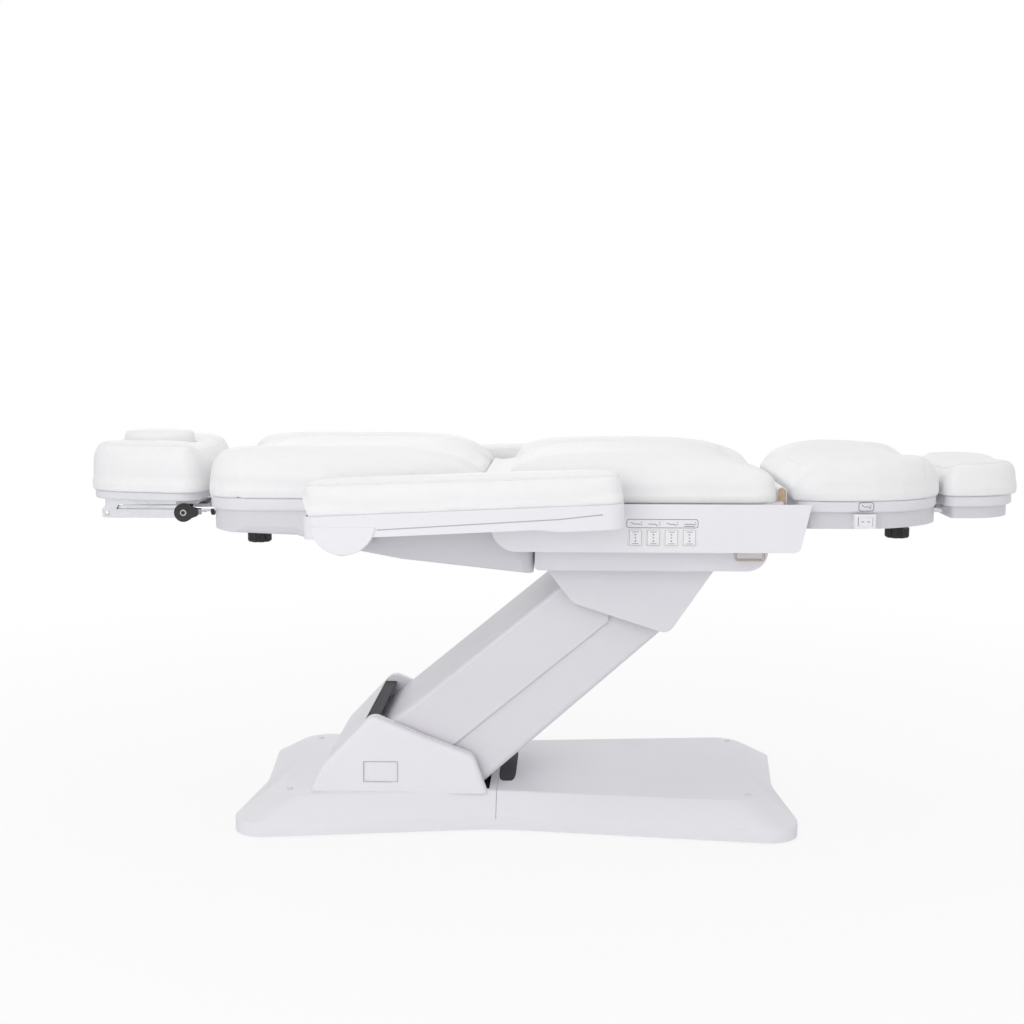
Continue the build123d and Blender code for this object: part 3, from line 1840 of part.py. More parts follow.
with BuildPart() as armrest_left_shell:
    mirror(armrest_right_shell.part, about=Plane.XZ)
armrest_left_shell.part.label = "armrest_left_shell"
export_step(on_lift(armrest_left_shell.part), "parts/armrest_left_shell.step")

with BuildPart() as armrest_right_cushion:
    add(arm_layer(arm_shell_high, arm_shell_high + arm_pad_rise))
    crown = armrest_right_cushion.faces().sort_by(Axis.Z)[-1]
    fillet(crown.edges(), arm_pad_round)
armrest_right_cushion.part.label = "armrest_right_cushion"
export_step(on_lift(armrest_right_cushion.part), "parts/armrest_right_cushion.step")

with BuildPart() as armrest_left_cushion:
    mirror(armrest_right_cushion.part, about=Plane.XZ)
armrest_left_cushion.part.label = "armrest_left_cushion"
export_step(on_lift(armrest_left_cushion.part), "parts/armrest_left_cushion.step")

# Headrest rods with an eye block at their head ends
eye_inner = rod_half - rod_radius
eye_outer = head_bar_inner - swing_gap
with BuildPart() as head_rods:
    add(rod_pair(head_rod_start, head_rod_end, rod_half, rod_height, rod_radius))
    add(
        block_pair(
            head_arm_x - rod_eye_half,
            head_rod_start + overrun,
            eye_inner,
            eye_outer,
            head_arm_z - rod_eye_half,
            rod_height + rod_radius,
        )
    )
    add(
        cross_pair(head_arm_x, head_arm_z, head_pin_radius + pin_gap, eye_inner, eye_outer),
        mode=Mode.SUBTRACT,
    )
head_rods.part.label = "head_rods"
export_step(on_lift(head_rods.part), "parts/head_rods.step")

head_bar_outer = head_bar_inner + head_bar_thickness
head_flange_outer = head_flange_inner + head_flange_thickness

# Lower arms of the headrest, joined by a cross bar near the rivets
bar_low = head_arm_z - head_bar_half_depth
bar_high = head_arm_z + head_bar_half_depth
head_bar = [
    (head_rivet_x, bar_low, 0),
    (head_arm_x, bar_low, 0),
    (head_arm_x, bar_high, 0),
    (head_rivet_x, bar_high, 0),
]
with BuildPart() as head_lower_arm:
    add(side_pair(head_bar, head_bar_inner, head_bar_outer))
    for x in (head_rivet_x, head_arm_x):
        add(cross_pair(x, head_arm_z, head_bar_half_depth, head_bar_inner, head_bar_outer))
    add(
        block(
            head_rivet_x - head_cross_width / 2,
            head_rivet_x + head_cross_width / 2,
            -head_bar_inner,
            head_bar_inner,
            bar_low,
            bar_low + head_strip_thickness,
        )
    )
    add(
        cross_pair(
            head_arm_x, head_arm_z, head_pin_radius + pin_gap, head_bar_inner, head_bar_outer
        ),
        mode=Mode.SUBTRACT,
    )
    add(cross_pair(head_rivet_x, head_rivet_z, rivet_radius, head_bar_outer, head_flange_outer))
head_lower_arm.part.label = "head_lower_arm"
export_step(on_lift(head_lower_arm.part), "parts/head_lower_arm.step")

# Cross pin of the headrest's hinge with a teardrop lever at each end
cam_shape = [
    (head_arm_x - cam_radius, head_arm_z, 0),
    (head_arm_x - cam_tip_radius, head_arm_z - cam_reach, cam_tip_radius),
    (head_arm_x + cam_tip_radius, head_arm_z - cam_reach, cam_tip_radius),
    (head_arm_x + cam_radius, head_arm_z, 0),
]
cam_outer = cam_inner + cam_width
with BuildPart() as head_cams:
    add(side_pair(cam_shape, cam_inner, cam_outer))
    add(cross_pair(head_arm_x, head_arm_z, cam_radius, cam_inner, cam_outer))
    add(cross_rod(head_arm_x, head_arm_z, head_pin_radius, -cam_outer, cam_outer))
head_cams.part.label = "head_cams"
export_step(on_lift(head_cams.part), "parts/head_cams.step")

# Channels under the headrest board, with lugs at the rivets
strip_low = head_board_bottom - head_strip_thickness
flange_low = head_board_bottom - head_flange_drop
flange = [
    (head_strip_start, head_board_bottom, 0),
    (head_strip_start, head_rivet_z, 0),
    (head_rivet_x - head_flange_lug, head_rivet_z - head_flange_lug, 0),
    (head_rivet_x + head_flange_lug, head_rivet_z - head_flange_lug, 0),
    (head_rivet_x + head_flange_lug * 2, flange_low, 0),
    (head_strip_end, flange_low, 0),
    (head_strip_end, head_board_bottom, 0),
]
with BuildPart() as head_upper_plate:
    add(side_pair(flange, head_flange_inner, head_flange_outer))
    add(
        block_pair(
            head_strip_start,
            head_strip_end,
            head_strip_inner,
            head_flange_inner,
            strip_low,
            head_board_bottom,
        )
    )
    add(
        block(
            head_strip_start,
            head_strip_start + head_cross_width,
            -head_strip_inner,
            head_strip_inner,
            strip_low,
            head_board_bottom,
        )
    )
    add(
        cross_pair(
            head_rivet_x,
            head_rivet_z,
            rivet_radius + pin_gap,
            head_flange_inner,
            head_flange_outer,
        ),
        mode=Mode.SUBTRACT,
    )
head_upper_plate.part.label = "head_upper_plate"
export_step(on_lift(head_upper_plate.part), "parts/head_upper_plate.step")

# Headrest board, cushion and the plug in its face hole
head_pad = (
    head_start,
    head_end,
    head_crown_half,
    head_neck_half,
    head_crown_radius,
    head_neck_radius,
)
head_board_top = head_board_bottom + head_board_thickness
head_rises = [
    (head_start, head_end_run, *head_end_shares),
    (head_end, head_end_run, *head_end_shares),
]


def face_hole(level, height, margin):
    """An oval prism about the face hole, larger or smaller than the plug by a margin."""
    with BuildPart() as hole:
        with BuildSketch(Plane.XY.offset(level)):
            with Locations((face_plug_x, 0)):
                Ellipse(face_plug_length / 2 + margin, face_plug_width / 2 + margin)
        extrude(amount=height)
    return hole.part


with BuildPart() as head_board:
    add(plan_slab(head_board_bottom, head_board_thickness, head_pad, head_board_inset))
    add(
        face_hole(head_board_bottom - overrun, head_board_thickness + overrun * 2, -face_rim),
        mode=Mode.SUBTRACT,
    )
head_board.part.label = "head_board"
export_step(on_lift(head_board.part), "parts/head_board.step")

with BuildPart() as head_cushion:
    add(padded(head_pad, head_board_top, head_pad_rise, head_pad_valley, head_rises))
    add(
        face_hole(head_board_top - overrun, head_pad_rise + overrun * 2, face_plug_gap),
        mode=Mode.SUBTRACT,
    )
head_cushion.part.label = "head_cushion"
export_step(on_lift(head_cushion.part), "parts/head_cushion.step")

with BuildPart() as face_plug:
    add(face_hole(head_board_top + rest_pad_gap, head_pad_rise + face_plug_proud, 0))
    fillet(face_plug.faces().sort_by(Axis.Z)[-1].edges(), face_plug_round)
face_plug.part.label = "face_plug"
export_step(on_lift(face_plug.part), "parts/face_plug.step")

# Leg section: board, cushion and pan
leg_pad = (leg_start, leg_end, leg_half, leg_half, leg_hinge_corner, leg_corner)
leg_board_top = leg_board_bottom + leg_board_thickness
leg_rises = [
    (leg_start, leg_start_run, *leg_start_shares),
    (leg_end, leg_finish_run, *leg_finish_shares),
]
leg_pan_low = leg_board_bottom - leg_pan_depth
leg_floor = leg_pan_low + leg_pan_wall
with BuildPart() as leg_board:
    add(plan_slab(leg_board_bottom, leg_board_thickness, leg_pad, leg_board_inset))
leg_board.part.label = "leg_board"
export_step(on_lift(leg_board.part), "parts/leg_board.step")

with BuildPart() as leg_cushion:
    add(padded(leg_pad, leg_board_top, leg_pad_rise, leg_pad_valley, leg_rises))
leg_cushion.part.label = "leg_cushion"
export_step(on_lift(leg_cushion.part), "parts/leg_cushion.step")

rod_hole = rod_radius + swing_gap
with BuildPart() as leg_pan:
    add(plan_slab(leg_pan_low, leg_pan_depth, leg_pad, leg_pan_inset))
    add(
        plan_slab(leg_floor, leg_pan_depth, leg_pad, leg_pan_inset + leg_pan_wall),
        mode=Mode.SUBTRACT,
    )
    add(
        block(
            leg_start,
            leg_start + leg_pan_inset * 2,
            -leg_ear_outer - swing_gap,
            leg_ear_outer + swing_gap,
            leg_floor,
            leg_board_bottom + overrun,
        ),
        mode=Mode.SUBTRACT,
    )
    add(
        rod_pair(
            foot_guide_start + foot_guide_length, leg_end, foot_rod_half, foot_rod_z, rod_hole
        ),
        mode=Mode.SUBTRACT,
    )
    add(
        upright(leg_knob_x, 0, knob_bore, leg_knob_bottom, leg_board_bottom),
        mode=Mode.SUBTRACT,
    )
leg_pan.part.label = "leg_pan"
export_step(on_lift(leg_pan.part), "parts/leg_pan.step")

# Steel frame of the leg section with the guides of the foot extension
foot_guide_end = foot_guide_start + foot_guide_length
clamp_top = foot_rod_z - rod_radius + leg_pan_wall
leg_ear = [
    (leg_pivot_x, leg_pivot_z - leg_disc, 0),
    (leg_rail_start + leg_cross_width, leg_pivot_z - leg_disc, 0),
    (leg_rail_start + leg_cross_width, leg_board_bottom, 0),
    (leg_board_clear, leg_board_bottom, 0),
    (leg_pivot_x, leg_pivot_z + leg_disc, 0),
]
with BuildPart() as leg_frame:
    add(
        block_pair(
            leg_rail_start,
            leg_rail_end,
            leg_rail_inner,
            leg_ear_outer,
            leg_floor,
            leg_board_bottom,
        )
    )
    add(
        block(
            leg_rail_start,
            leg_rail_start + leg_cross_width,
            -leg_rail_inner,
            leg_rail_inner,
            leg_floor,
            leg_board_bottom,
        )
    )
    add(side_pair(leg_ear, leg_ear_inner, leg_ear_outer))
    add(cross_pair(leg_pivot_x, leg_pivot_z, leg_disc, leg_ear_inner, leg_ear_outer))
    add(
        cross_pair(leg_pivot_x, leg_pivot_z, leg_pin_radius + pin_gap, leg_ear_inner, leg_ear_outer),
        mode=Mode.SUBTRACT,
    )
    for middle in (-foot_rod_half, foot_rod_half):
        add(
            block(
                foot_guide_start,
                foot_guide_end,
                middle - foot_guide_half,
                middle + foot_guide_half,
                leg_floor,
                leg_board_bottom,
            )
        )
    add(
        block(
            leg_clamp_start,
            leg_clamp_start + leg_clamp_length,
            foot_guide_half - foot_rod_half,
            foot_rod_half - foot_guide_half,
            leg_floor,
            clamp_top,
        )
    )
    add(
        rod_pair(
            foot_guide_start - overrun,
            foot_guide_end + overrun,
            foot_rod_half,
            foot_rod_z,
            rod_radius + slide_gap,
        ),
        mode=Mode.SUBTRACT,
    )
    add(
        upright(leg_knob_x, 0, knob_bore, leg_floor - overrun, clamp_top),
        mode=Mode.SUBTRACT,
    )
leg_frame.part.label = "leg_frame"
export_step(on_lift(leg_frame.part), "parts/leg_frame.step")

# Knob that clamps the foot extension
with BuildPart() as leg_knob:
    add(fluted_knob(leg_knob_x, leg_knob_bottom, clamp_top))
leg_knob.part.label = "leg_knob"
export_step(on_lift(leg_knob.part), "parts/leg_knob.step")

# Housing of the leg switch, notched over the edge of the leg board
pan_side = leg_half - leg_pan_inset
switch_front = -pan_side - switch_reach
switch_end = switch_start + switch_length
switch_low = leg_floor
switch_high = switch_low + switch_height
switch_x = (switch_start + switch_end) / 2
switch_z = (switch_low + switch_high) / 2
pocket_back = switch_front + rocker_depth + rocker_gap - rocker_proud
rocker_pivot_y = switch_front + rocker_pivot_reach
with BuildPart() as leg_switch_housing:
    add(block(switch_start, switch_end, switch_front, -pan_side, switch_low, switch_high))
    fillet(
        leg_switch_housing.faces().sort_by(Axis.Y)[0].edges().filter_by(Axis.Z), switch_round
    )
    add(
        block(
            switch_start - overrun,
            switch_end + overrun,
            leg_board_inset - leg_half - swing_gap,
            overrun - pan_side,
            leg_board_bottom,
            switch_high + overrun,
        ),
        mode=Mode.SUBTRACT,
    )
    add(
        block(
            switch_x - rocker_length / 2 - rocker_gap,
            switch_x + rocker_length / 2 + rocker_gap,
            switch_front - overrun,
            pocket_back,
            switch_z - rocker_height / 2 - slide_gap * 4,
            switch_z + rocker_height / 2 + slide_gap * 4,
        ),
        mode=Mode.SUBTRACT,
    )
    add(
        upright(
            switch_x,
            rocker_pivot_y,
            rocker_pivot_radius,
            switch_z - rocker_height / 2 - rocker_gap,
            switch_z + rocker_height / 2 + rocker_gap,
        )
    )
leg_switch_housing.part.label = "leg_switch_housing"
export_step(on_lift(leg_switch_housing.part), "parts/leg_switch_housing.step")

with BuildPart() as leg_switch_rocker:
    add(
        block(
            switch_x - rocker_length / 2,
            switch_x + rocker_length / 2,
            switch_front - rocker_proud,
            pocket_back - rocker_gap * 2,
            switch_z - rocker_height / 2,
            switch_z + rocker_height / 2,
        )
    )
    add(
        upright(
            switch_x,
            rocker_pivot_y,
            rocker_pivot_radius + pin_gap,
            switch_z - rocker_height,
            switch_z + rocker_height,
        ),
        mode=Mode.SUBTRACT,
    )
leg_switch_rocker.part.label = "leg_switch_rocker"
export_step(on_lift(leg_switch_rocker.part), "parts/leg_switch_rocker.step")

# Foot extension: rods, pan, board and cushion
foot_pad = (foot_start, foot_end, foot_half, foot_half, foot_heel_corner, foot_corner)
foot_board_top = foot_board_bottom + foot_board_thickness
foot_rises = [
    (foot_start, foot_end_run, *foot_end_shares),
    (foot_end, foot_end_run, *foot_end_shares),
]
with BuildPart() as foot_rods:
    add(rod_pair(foot_rod_start, foot_rod_end, foot_rod_half, foot_rod_z, rod_radius))
foot_rods.part.label = "foot_rods"
export_step(on_lift(foot_rods.part), "parts/foot_rods.step")

foot_floor = foot_pan_bottom + foot_pan_wall
with BuildPart() as foot_pan:
    add(plan_slab(foot_pan_bottom, foot_board_bottom - foot_pan_bottom, foot_pad, foot_pan_inset))
    add(
        plan_slab(
            foot_floor, foot_board_bottom - foot_pan_bottom, foot_pad, foot_pan_inset + foot_pan_wall
        ),
        mode=Mode.SUBTRACT,
    )
    add(
        block_pair(
            foot_start + foot_pan_inset,
            foot_rod_end,
            foot_rod_half - foot_guide_half,
            foot_rod_half + foot_guide_half,
            foot_pan_bottom,
            foot_board_bottom,
        )
    )
    add(
        rod_pair(foot_start - overrun, foot_rod_end, foot_rod_half, foot_rod_z, rod_radius),
        mode=Mode.SUBTRACT,
    )
foot_pan.part.label = "foot_pan"
export_step(on_lift(foot_pan.part), "parts/foot_pan.step")

with BuildPart() as foot_board:
    add(plan_slab(foot_board_bottom, foot_board_thickness, foot_pad))
foot_board.part.label = "foot_board"
export_step(on_lift(foot_board.part), "parts/foot_board.step")

with BuildPart() as foot_cushion:
    add(padded(foot_pad, foot_board_top, foot_pad_rise, foot_pad_valley, foot_rises))
foot_cushion.part.label = "foot_cushion"
export_step(on_lift(foot_cushion.part), "parts/foot_cushion.step")
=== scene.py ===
"""Looks of the laid-flat tattoo chair: upholstery, moulded covers, metal parts and studio."""

import json
import logging
import math
from dataclasses import dataclass, field
from enum import Enum
from typing import Any, Callable, Iterable, Optional, Sequence, Union

import bpy
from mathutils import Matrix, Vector, noise
from mathutils.bvhtree import BVHTree
from mathutils.kdtree import KDTree


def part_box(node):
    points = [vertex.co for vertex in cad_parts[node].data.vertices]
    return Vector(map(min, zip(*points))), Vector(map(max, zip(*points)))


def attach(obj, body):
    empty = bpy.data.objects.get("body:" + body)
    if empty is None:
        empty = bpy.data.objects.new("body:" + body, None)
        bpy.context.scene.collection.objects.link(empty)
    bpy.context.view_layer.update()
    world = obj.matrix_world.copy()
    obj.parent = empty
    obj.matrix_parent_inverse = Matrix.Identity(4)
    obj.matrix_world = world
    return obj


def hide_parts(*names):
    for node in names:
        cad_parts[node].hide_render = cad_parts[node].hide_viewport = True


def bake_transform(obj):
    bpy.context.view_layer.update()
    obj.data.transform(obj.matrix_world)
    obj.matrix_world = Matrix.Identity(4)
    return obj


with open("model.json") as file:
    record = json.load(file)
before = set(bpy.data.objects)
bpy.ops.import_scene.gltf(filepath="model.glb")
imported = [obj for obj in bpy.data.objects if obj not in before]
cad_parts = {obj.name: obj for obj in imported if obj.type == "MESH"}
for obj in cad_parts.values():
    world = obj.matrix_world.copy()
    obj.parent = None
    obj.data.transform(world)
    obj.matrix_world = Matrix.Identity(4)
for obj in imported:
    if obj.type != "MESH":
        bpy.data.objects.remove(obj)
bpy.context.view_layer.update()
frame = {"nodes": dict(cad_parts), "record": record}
logging.basicConfig(level=logging.INFO, format="%(message)s")
log = logging.getLogger("chair")

MM = 0.001
Colour = tuple[float, float, float]
Value = Union["Socket", float, int, Sequence[float]]
Knots = Sequence[tuple[float, float]]
Sockets = dict[Union[str, int], Value]
Form = tuple[list[Vector], list[tuple[int, ...]]]


class Axis(Enum):
    """Directions of the chair's own frame."""

    WIDTH = Vector((0.0, 1.0, 0.0))
    HEIGHT = Vector((0.0, 0.0, 1.0))


class Side(Enum):
    """The two sides of the chair, by the sign of their Y."""

    RIGHT = -1
    LEFT = 1


class Lay(Enum):
    """How a seam lies on a cushion."""

    EDGE = "round the crown, a little inside the outline"
    PANEL = "round the lower middle panel"
    ACROSS = "straight across"


def operator(name: str, swapped: bool = False) -> Callable[["Socket", Value], "Socket"]:
    """An operator of sockets that adds one Math node.

    Args:
        name: the node's operation.
        swapped: whether the socket stands on the right, as in 1 - mask.

    Returns:
        The operator.
    """

    def apply(socket: "Socket", other: Value) -> "Socket":
        """Joins a socket and a number or another socket."""
        first, second = (other, socket) if swapped else (socket, other)
        return socket.graph.node("ShaderNodeMath", {"operation": name}, {0: first, 1: second})

    return apply


class Socket:
    """A shader socket that takes part in arithmetic."""

    __add__ = operator("ADD")
    __radd__ = operator("ADD", swapped=True)
    __sub__ = operator("SUBTRACT")
    __rsub__ = operator("SUBTRACT", swapped=True)
    __mul__ = operator("MULTIPLY")
    __rmul__ = operator("MULTIPLY", swapped=True)

    def __init__(self, graph: "Graph", link: bpy.types.NodeSocket) -> None:
        """Keeps the graph and the output that the socket stands for."""
        self.graph = graph
        self.link = link

    def band(self, low: float, high: float) -> "Socket":
        """A smooth step from 0 at low to 1 at high."""
        return self.graph.node(
            "ShaderNodeMapRange",
            {"interpolation_type": "SMOOTHSTEP"},
            {"Value": self, "From Min": low, "From Max": high},
        )


class Graph:
    """A material and the nodes in it."""

    def __init__(self, name: str) -> None:
        """Makes an empty node material of that name."""
        self.material = bpy.data.materials.new(name)
        self.material.use_nodes = True
        self.tree = self.material.node_tree
        self.tree.nodes.clear()
        self.output = self.tree.nodes.new("ShaderNodeOutputMaterial")

    def node(
        self,
        kind: str,
        settings: Optional[dict[str, Any]] = None,
        sockets: Optional[Sockets] = None,
        output: Union[str, int] = 0,
    ) -> Socket:
        """Adds any node.

        Args:
            kind: the node's type name.
            settings: its own settings, set before its sockets; stops are a ramp's.
            sockets: values or links of its inputs, by name or number.
            output: the output that is handed back.

        Returns:
            The chosen output as a socket.
        """
        made = self.tree.nodes.new(kind)
        for key, value in (settings or {}).items():
            if key == "stops":
                self._ramp(made.color_ramp, value)
            else:
                setattr(made, key, value)
        for key, value in (sockets or {}).items():
            self.feed(made.inputs[key], value)
        return Socket(self, made.outputs[output])

    def feed(self, target: bpy.types.NodeSocket, value: Value) -> None:
        """Links or sets one input."""
        if isinstance(value, Socket):
            self.tree.links.new(value.link, target)
        elif isinstance(value, (int, float)):
            target.default_value = value
        else:
            wanted = len(target.default_value)
            given = tuple(value)
            target.default_value = given + (1.0,) * (wanted - len(given))

    @staticmethod
    def _ramp(ramp: bpy.types.ColorRamp, stops: Sequence[tuple[float, Colour]]) -> None:
        """Writes a ramp's stops, from left to right."""
        while len(ramp.elements) > 1:
            ramp.elements.remove(ramp.elements[-1])
        ramp.elements[0].position = stops[0][0]
        ramp.elements[0].color = (*stops[0][1], 1.0)
        for place, colour in stops[1:]:
            ramp.elements.new(place).color = (*colour, 1.0)

    def place(self, stretch: Sequence[float] = (1.0, 1.0, 1.0)) -> Socket:
        """The object's own coordinates in metres, stretched along its axes."""
        plain = self.node("ShaderNodeTexCoord", output="Object")
        if tuple(stretch) == (1.0, 1.0, 1.0):
            return plain
        return self.node(
            "ShaderNodeVectorMath", {"operation": "MULTIPLY"}, {0: plain, 1: tuple(stretch)}
        )

    def grain(self, where: Socket, scale: float, detail: float = 3.0, rough: float = 0.5) -> Socket:
        """Noise of so many cells a metre, from 0 to 1."""
        return self.node(
            "ShaderNodeTexNoise",
            None,
            {"Vector": where, "Scale": scale, "Detail": detail, "Roughness": rough},
        )

    def cells(self, where: Socket, scale: float) -> Socket:
        """Distance to the nearest cell of a scattered pattern."""
        return self.node(
            "ShaderNodeTexVoronoi", {"feature": "F1"}, {"Vector": where, "Scale": scale}
        )

    def mix(self, factor: Value, first: Value, second: Value) -> Socket:
        """One colour into another by a factor."""
        return self.node(
            "ShaderNodeMix", {"data_type": "RGBA"}, {0: factor, 6: first, 7: second}, output=2
        )

    def bump(self, height: Socket, depth: float, under: Optional[Socket] = None) -> Socket:
        """A normal raised by a height from 0 to 1 over so many metres."""
        sockets: Sockets = {"Strength": 1.0, "Distance": depth, "Height": height}
        if under is not None:
            sockets["Normal"] = under
        return self.node("ShaderNodeBump", None, sockets)

    def surface(self, sockets: Sockets) -> Socket:
        """The principled surface with the given inputs."""
        return self.node("ShaderNodeBsdfPrincipled", None, sockets)

    def finish(self, shader: Socket) -> bpy.types.Material:
        """Joins the shader to the output and hands back the material."""
        self.tree.links.new(shader.link, self.output.inputs["Surface"])
        return self.material


@dataclass(frozen=True)
class Finish:
    """A finish that makes its material once."""

    name: str

    def look(self, g: Graph) -> Sockets:
        """Inputs of the principled surface; each kind of finish has its own."""
        raise NotImplementedError

    def material(self) -> bpy.types.Material:
        """The material of this finish, made on its first use."""
        known = bpy.data.materials.get(self.name)
        if known is None:
            g = Graph(self.name)
            known = g.finish(g.surface(self.look(g)))
        return known


@dataclass(frozen=True)
class Leather(Finish):
    """Coated upholstery leather with a fine pebbled grain."""

    colour: Colour = (0.90, 0.90, 0.905)
    shade: Colour = (0.86, 0.86, 0.875)
    # gap is the painted shade colour of the seam grooves.
    gap: Colour = (0.60, 0.60, 0.63)
    roughness: float = 0.44
    pebbles: float = 820.0
    grain_depth: float = 0.00022

    def look(self, g: Graph) -> Sockets:
        """Pebble grain, soft creases darkened with painted shade, and painted shade in the seams.
        """
        where = g.place()
        pebble = g.cells(where, self.pebbles)
        fine = g.grain(where, self.pebbles * 2.6, 2.0)
        crease = g.grain(g.place((1.0, 1.6, 1.0)), 38.0, 5.0, 0.62)
        cloud = g.grain(where, 7.0, 3.0)
        sewn = g.node("ShaderNodeAttribute", {"attribute_name": "sewn"}, output="Fac")
        # Painted shade: worn darkens the leather along the crease pattern, shade painted into the
        # creases; its cloud part is a random tone.
        worn = crease.band(0.42, 0.72) * 0.35 + cloud.band(0.35, 0.75) * 0.3
        tone = g.mix(worn, self.colour, self.shade)
        height = pebble * 0.55 + fine * 0.2 + crease * 0.5
        return {
            # Painted shade: the colour goes towards gap along the seams, after the sewn mark.
            "Base Color": g.mix(sewn.band(0.15, 1.0) * 0.25, tone, self.gap),
            "Roughness": cloud * 0.1 + pebble * 0.08 + (self.roughness - 0.09),
            "Normal": g.bump(height, self.grain_depth),
            "Specular IOR Level": 0.42,
            "Sheen Weight": 0.06,
        }


@dataclass(frozen=True)
class MouldedPlastic(Finish):
    """Painted or moulded plastic with a fine spark-eroded texture."""

    colour: Colour
    shade: Colour
    roughness: float = 0.36
    texture: float = 900.0
    texture_depth: float = 0.00008
    flow_depth: float = 0.0006

    def look(self, g: Graph) -> Sockets:
        """A faint flow pattern, fine texture and handling marks."""
        where = g.place()
        fine = g.grain(where, self.texture, 2.0)
        flow = g.grain(g.place((1.0, 1.0, 2.2)), 3.2, 2.0)
        rubbed = g.grain(where, 26.0, 6.0, 0.68).band(0.56, 0.78)
        return {
            "Base Color": g.mix(flow.band(0.3, 0.7) * 0.35, self.colour, self.shade),
            "Roughness": fine * 0.08 + rubbed * 0.09 + (self.roughness - 0.04),
            "Normal": g.bump(fine, self.texture_depth, g.bump(flow, self.flow_depth)),
            "Specular IOR Level": 0.45,
            "Coat Weight": 0.08,
        }


@dataclass(frozen=True)
class Metal(Finish):
    """Plated or bare metal with drawing lines along the chair."""

    colour: Colour = (0.52, 0.53, 0.55)
    roughness: float = 0.34
    lines: float = 1400.0
    line_depth: float = 0.00003
    stain: float = 0.25

    def look(self, g: Graph) -> Sockets:
        """Drawn lines, spangle and dull spots."""
        lines = g.grain(g.place((0.05, 1.0, 1.0)), self.lines, 3.0)
        spots = g.grain(g.place(), 60.0, 5.0, 0.6)
        dull = tuple(part * 0.72 for part in self.colour)
        return {
            "Base Color": g.mix(spots.band(0.45, 0.75) * self.stain, self.colour, dull),
            "Metallic": 1.0,
            "Roughness": lines * 0.12 + spots * 0.12 + (self.roughness - 0.12),
            "Normal": g.bump(lines, self.line_depth),
        }


@dataclass(frozen=True)
class PaintedSteel(Finish):
    """Powder-coated steel with a fine orange peel."""

    colour: Colour = (0.74, 0.74, 0.77)
    chip: Colour = (0.45, 0.45, 0.47)
    roughness: float = 0.4

    def look(self, g: Graph) -> Sockets:
        """Orange peel and a little dust."""
        peel = g.grain(g.place(), 420.0, 2.0)
        dust = g.grain(g.place(), 30.0, 6.0, 0.7).band(0.6, 0.85)
        return {
            "Base Color": g.mix(dust * 0.25, self.colour, self.chip),
            "Roughness": peel * 0.1 + dust * 0.2 + (self.roughness - 0.05),
            "Normal": g.bump(peel, 0.00012),
            "Coat Weight": 0.1,
        }


@dataclass(frozen=True)
class DarkPlastic(Finish):
    """Black or grey moulded nylon and rubber."""

    colour: Colour = (0.012, 0.012, 0.013)
    worn: Colour = (0.05, 0.05, 0.052)
    roughness: float = 0.5
    texture: float = 1500.0

    def look(self, g: Graph) -> Sockets:
        """Fine sparkle texture with rubbed high places."""
        fine = g.cells(g.place(), self.texture)
        rubbed = g.grain(g.place(), 90.0, 5.0, 0.65).band(0.5, 0.8)
        return {
            "Base Color": g.mix(rubbed * 0.5, self.colour, self.worn),
            "Roughness": fine * 0.15 + rubbed * 0.08 + (self.roughness - 0.08),
            "Normal": g.bump(fine, 0.00006),
        }


@dataclass(frozen=True)
class Plywood(Finish):
    """Birch plywood with plies seen at its edges."""

    colour: Colour = (0.62, 0.46, 0.29)
    late: Colour = (0.44, 0.29, 0.16)

    def look(self, g: Graph) -> Sockets:
        """Stretched grain over thin plies."""
        fibre = g.grain(g.place((0.06, 1.0, 1.0)), 160.0, 6.0, 0.6)
        ply = g.node(
            "ShaderNodeTexWave",
            {"wave_type": "BANDS", "bands_direction": "Z"},
            {"Vector": g.place(), "Scale": 110.0, "Distortion": 0.4},
        )
        tone = fibre.band(0.35, 0.7) * 0.6 + ply * 0.25
        return {
            "Base Color": g.mix(tone, self.colour, self.late),
            "Roughness": fibre * 0.15 + 0.5,
            "Normal": g.bump(fibre, 0.00015),
        }


@dataclass(frozen=True)
class Suede(Finish):
    """The napped back of the upholstery leather."""

    colour: Colour = (0.66, 0.53, 0.38)
    nap: Colour = (0.54, 0.42, 0.29)

    def look(self, g: Graph) -> Sockets:
        """Short nap with brushed patches."""
        short = g.grain(g.place(), 2400.0, 3.0)
        patch = g.grain(g.place(), 90.0, 4.0, 0.6)
        return {
            "Base Color": g.mix(patch.band(0.3, 0.7) * 0.7, self.colour, self.nap),
            "Roughness": short * 0.1 + 0.82,
            "Normal": g.bump(short, 0.0002),
            "Sheen Weight": 0.3,
        }


@dataclass(frozen=True)
class Thread(Finish):
    """Twisted sewing thread or flat print in one tone."""

    colour: Colour
    roughness: float = 0.6
    twist: float = 900.0

    def look(self, g: Graph) -> Sockets:
        """A twist along the thread."""
        wound = g.node(
            "ShaderNodeTexWave",
            {"bands_direction": "DIAGONAL"},
            {"Vector": g.place(), "Scale": self.twist, "Distortion": 1.0},
        )
        darker = tuple(part * 0.8 for part in self.colour)
        return {
            "Base Color": g.mix(wound * 0.5, self.colour, darker),
            "Roughness": self.roughness,
            "Normal": g.bump(wound, 0.0001),
        }


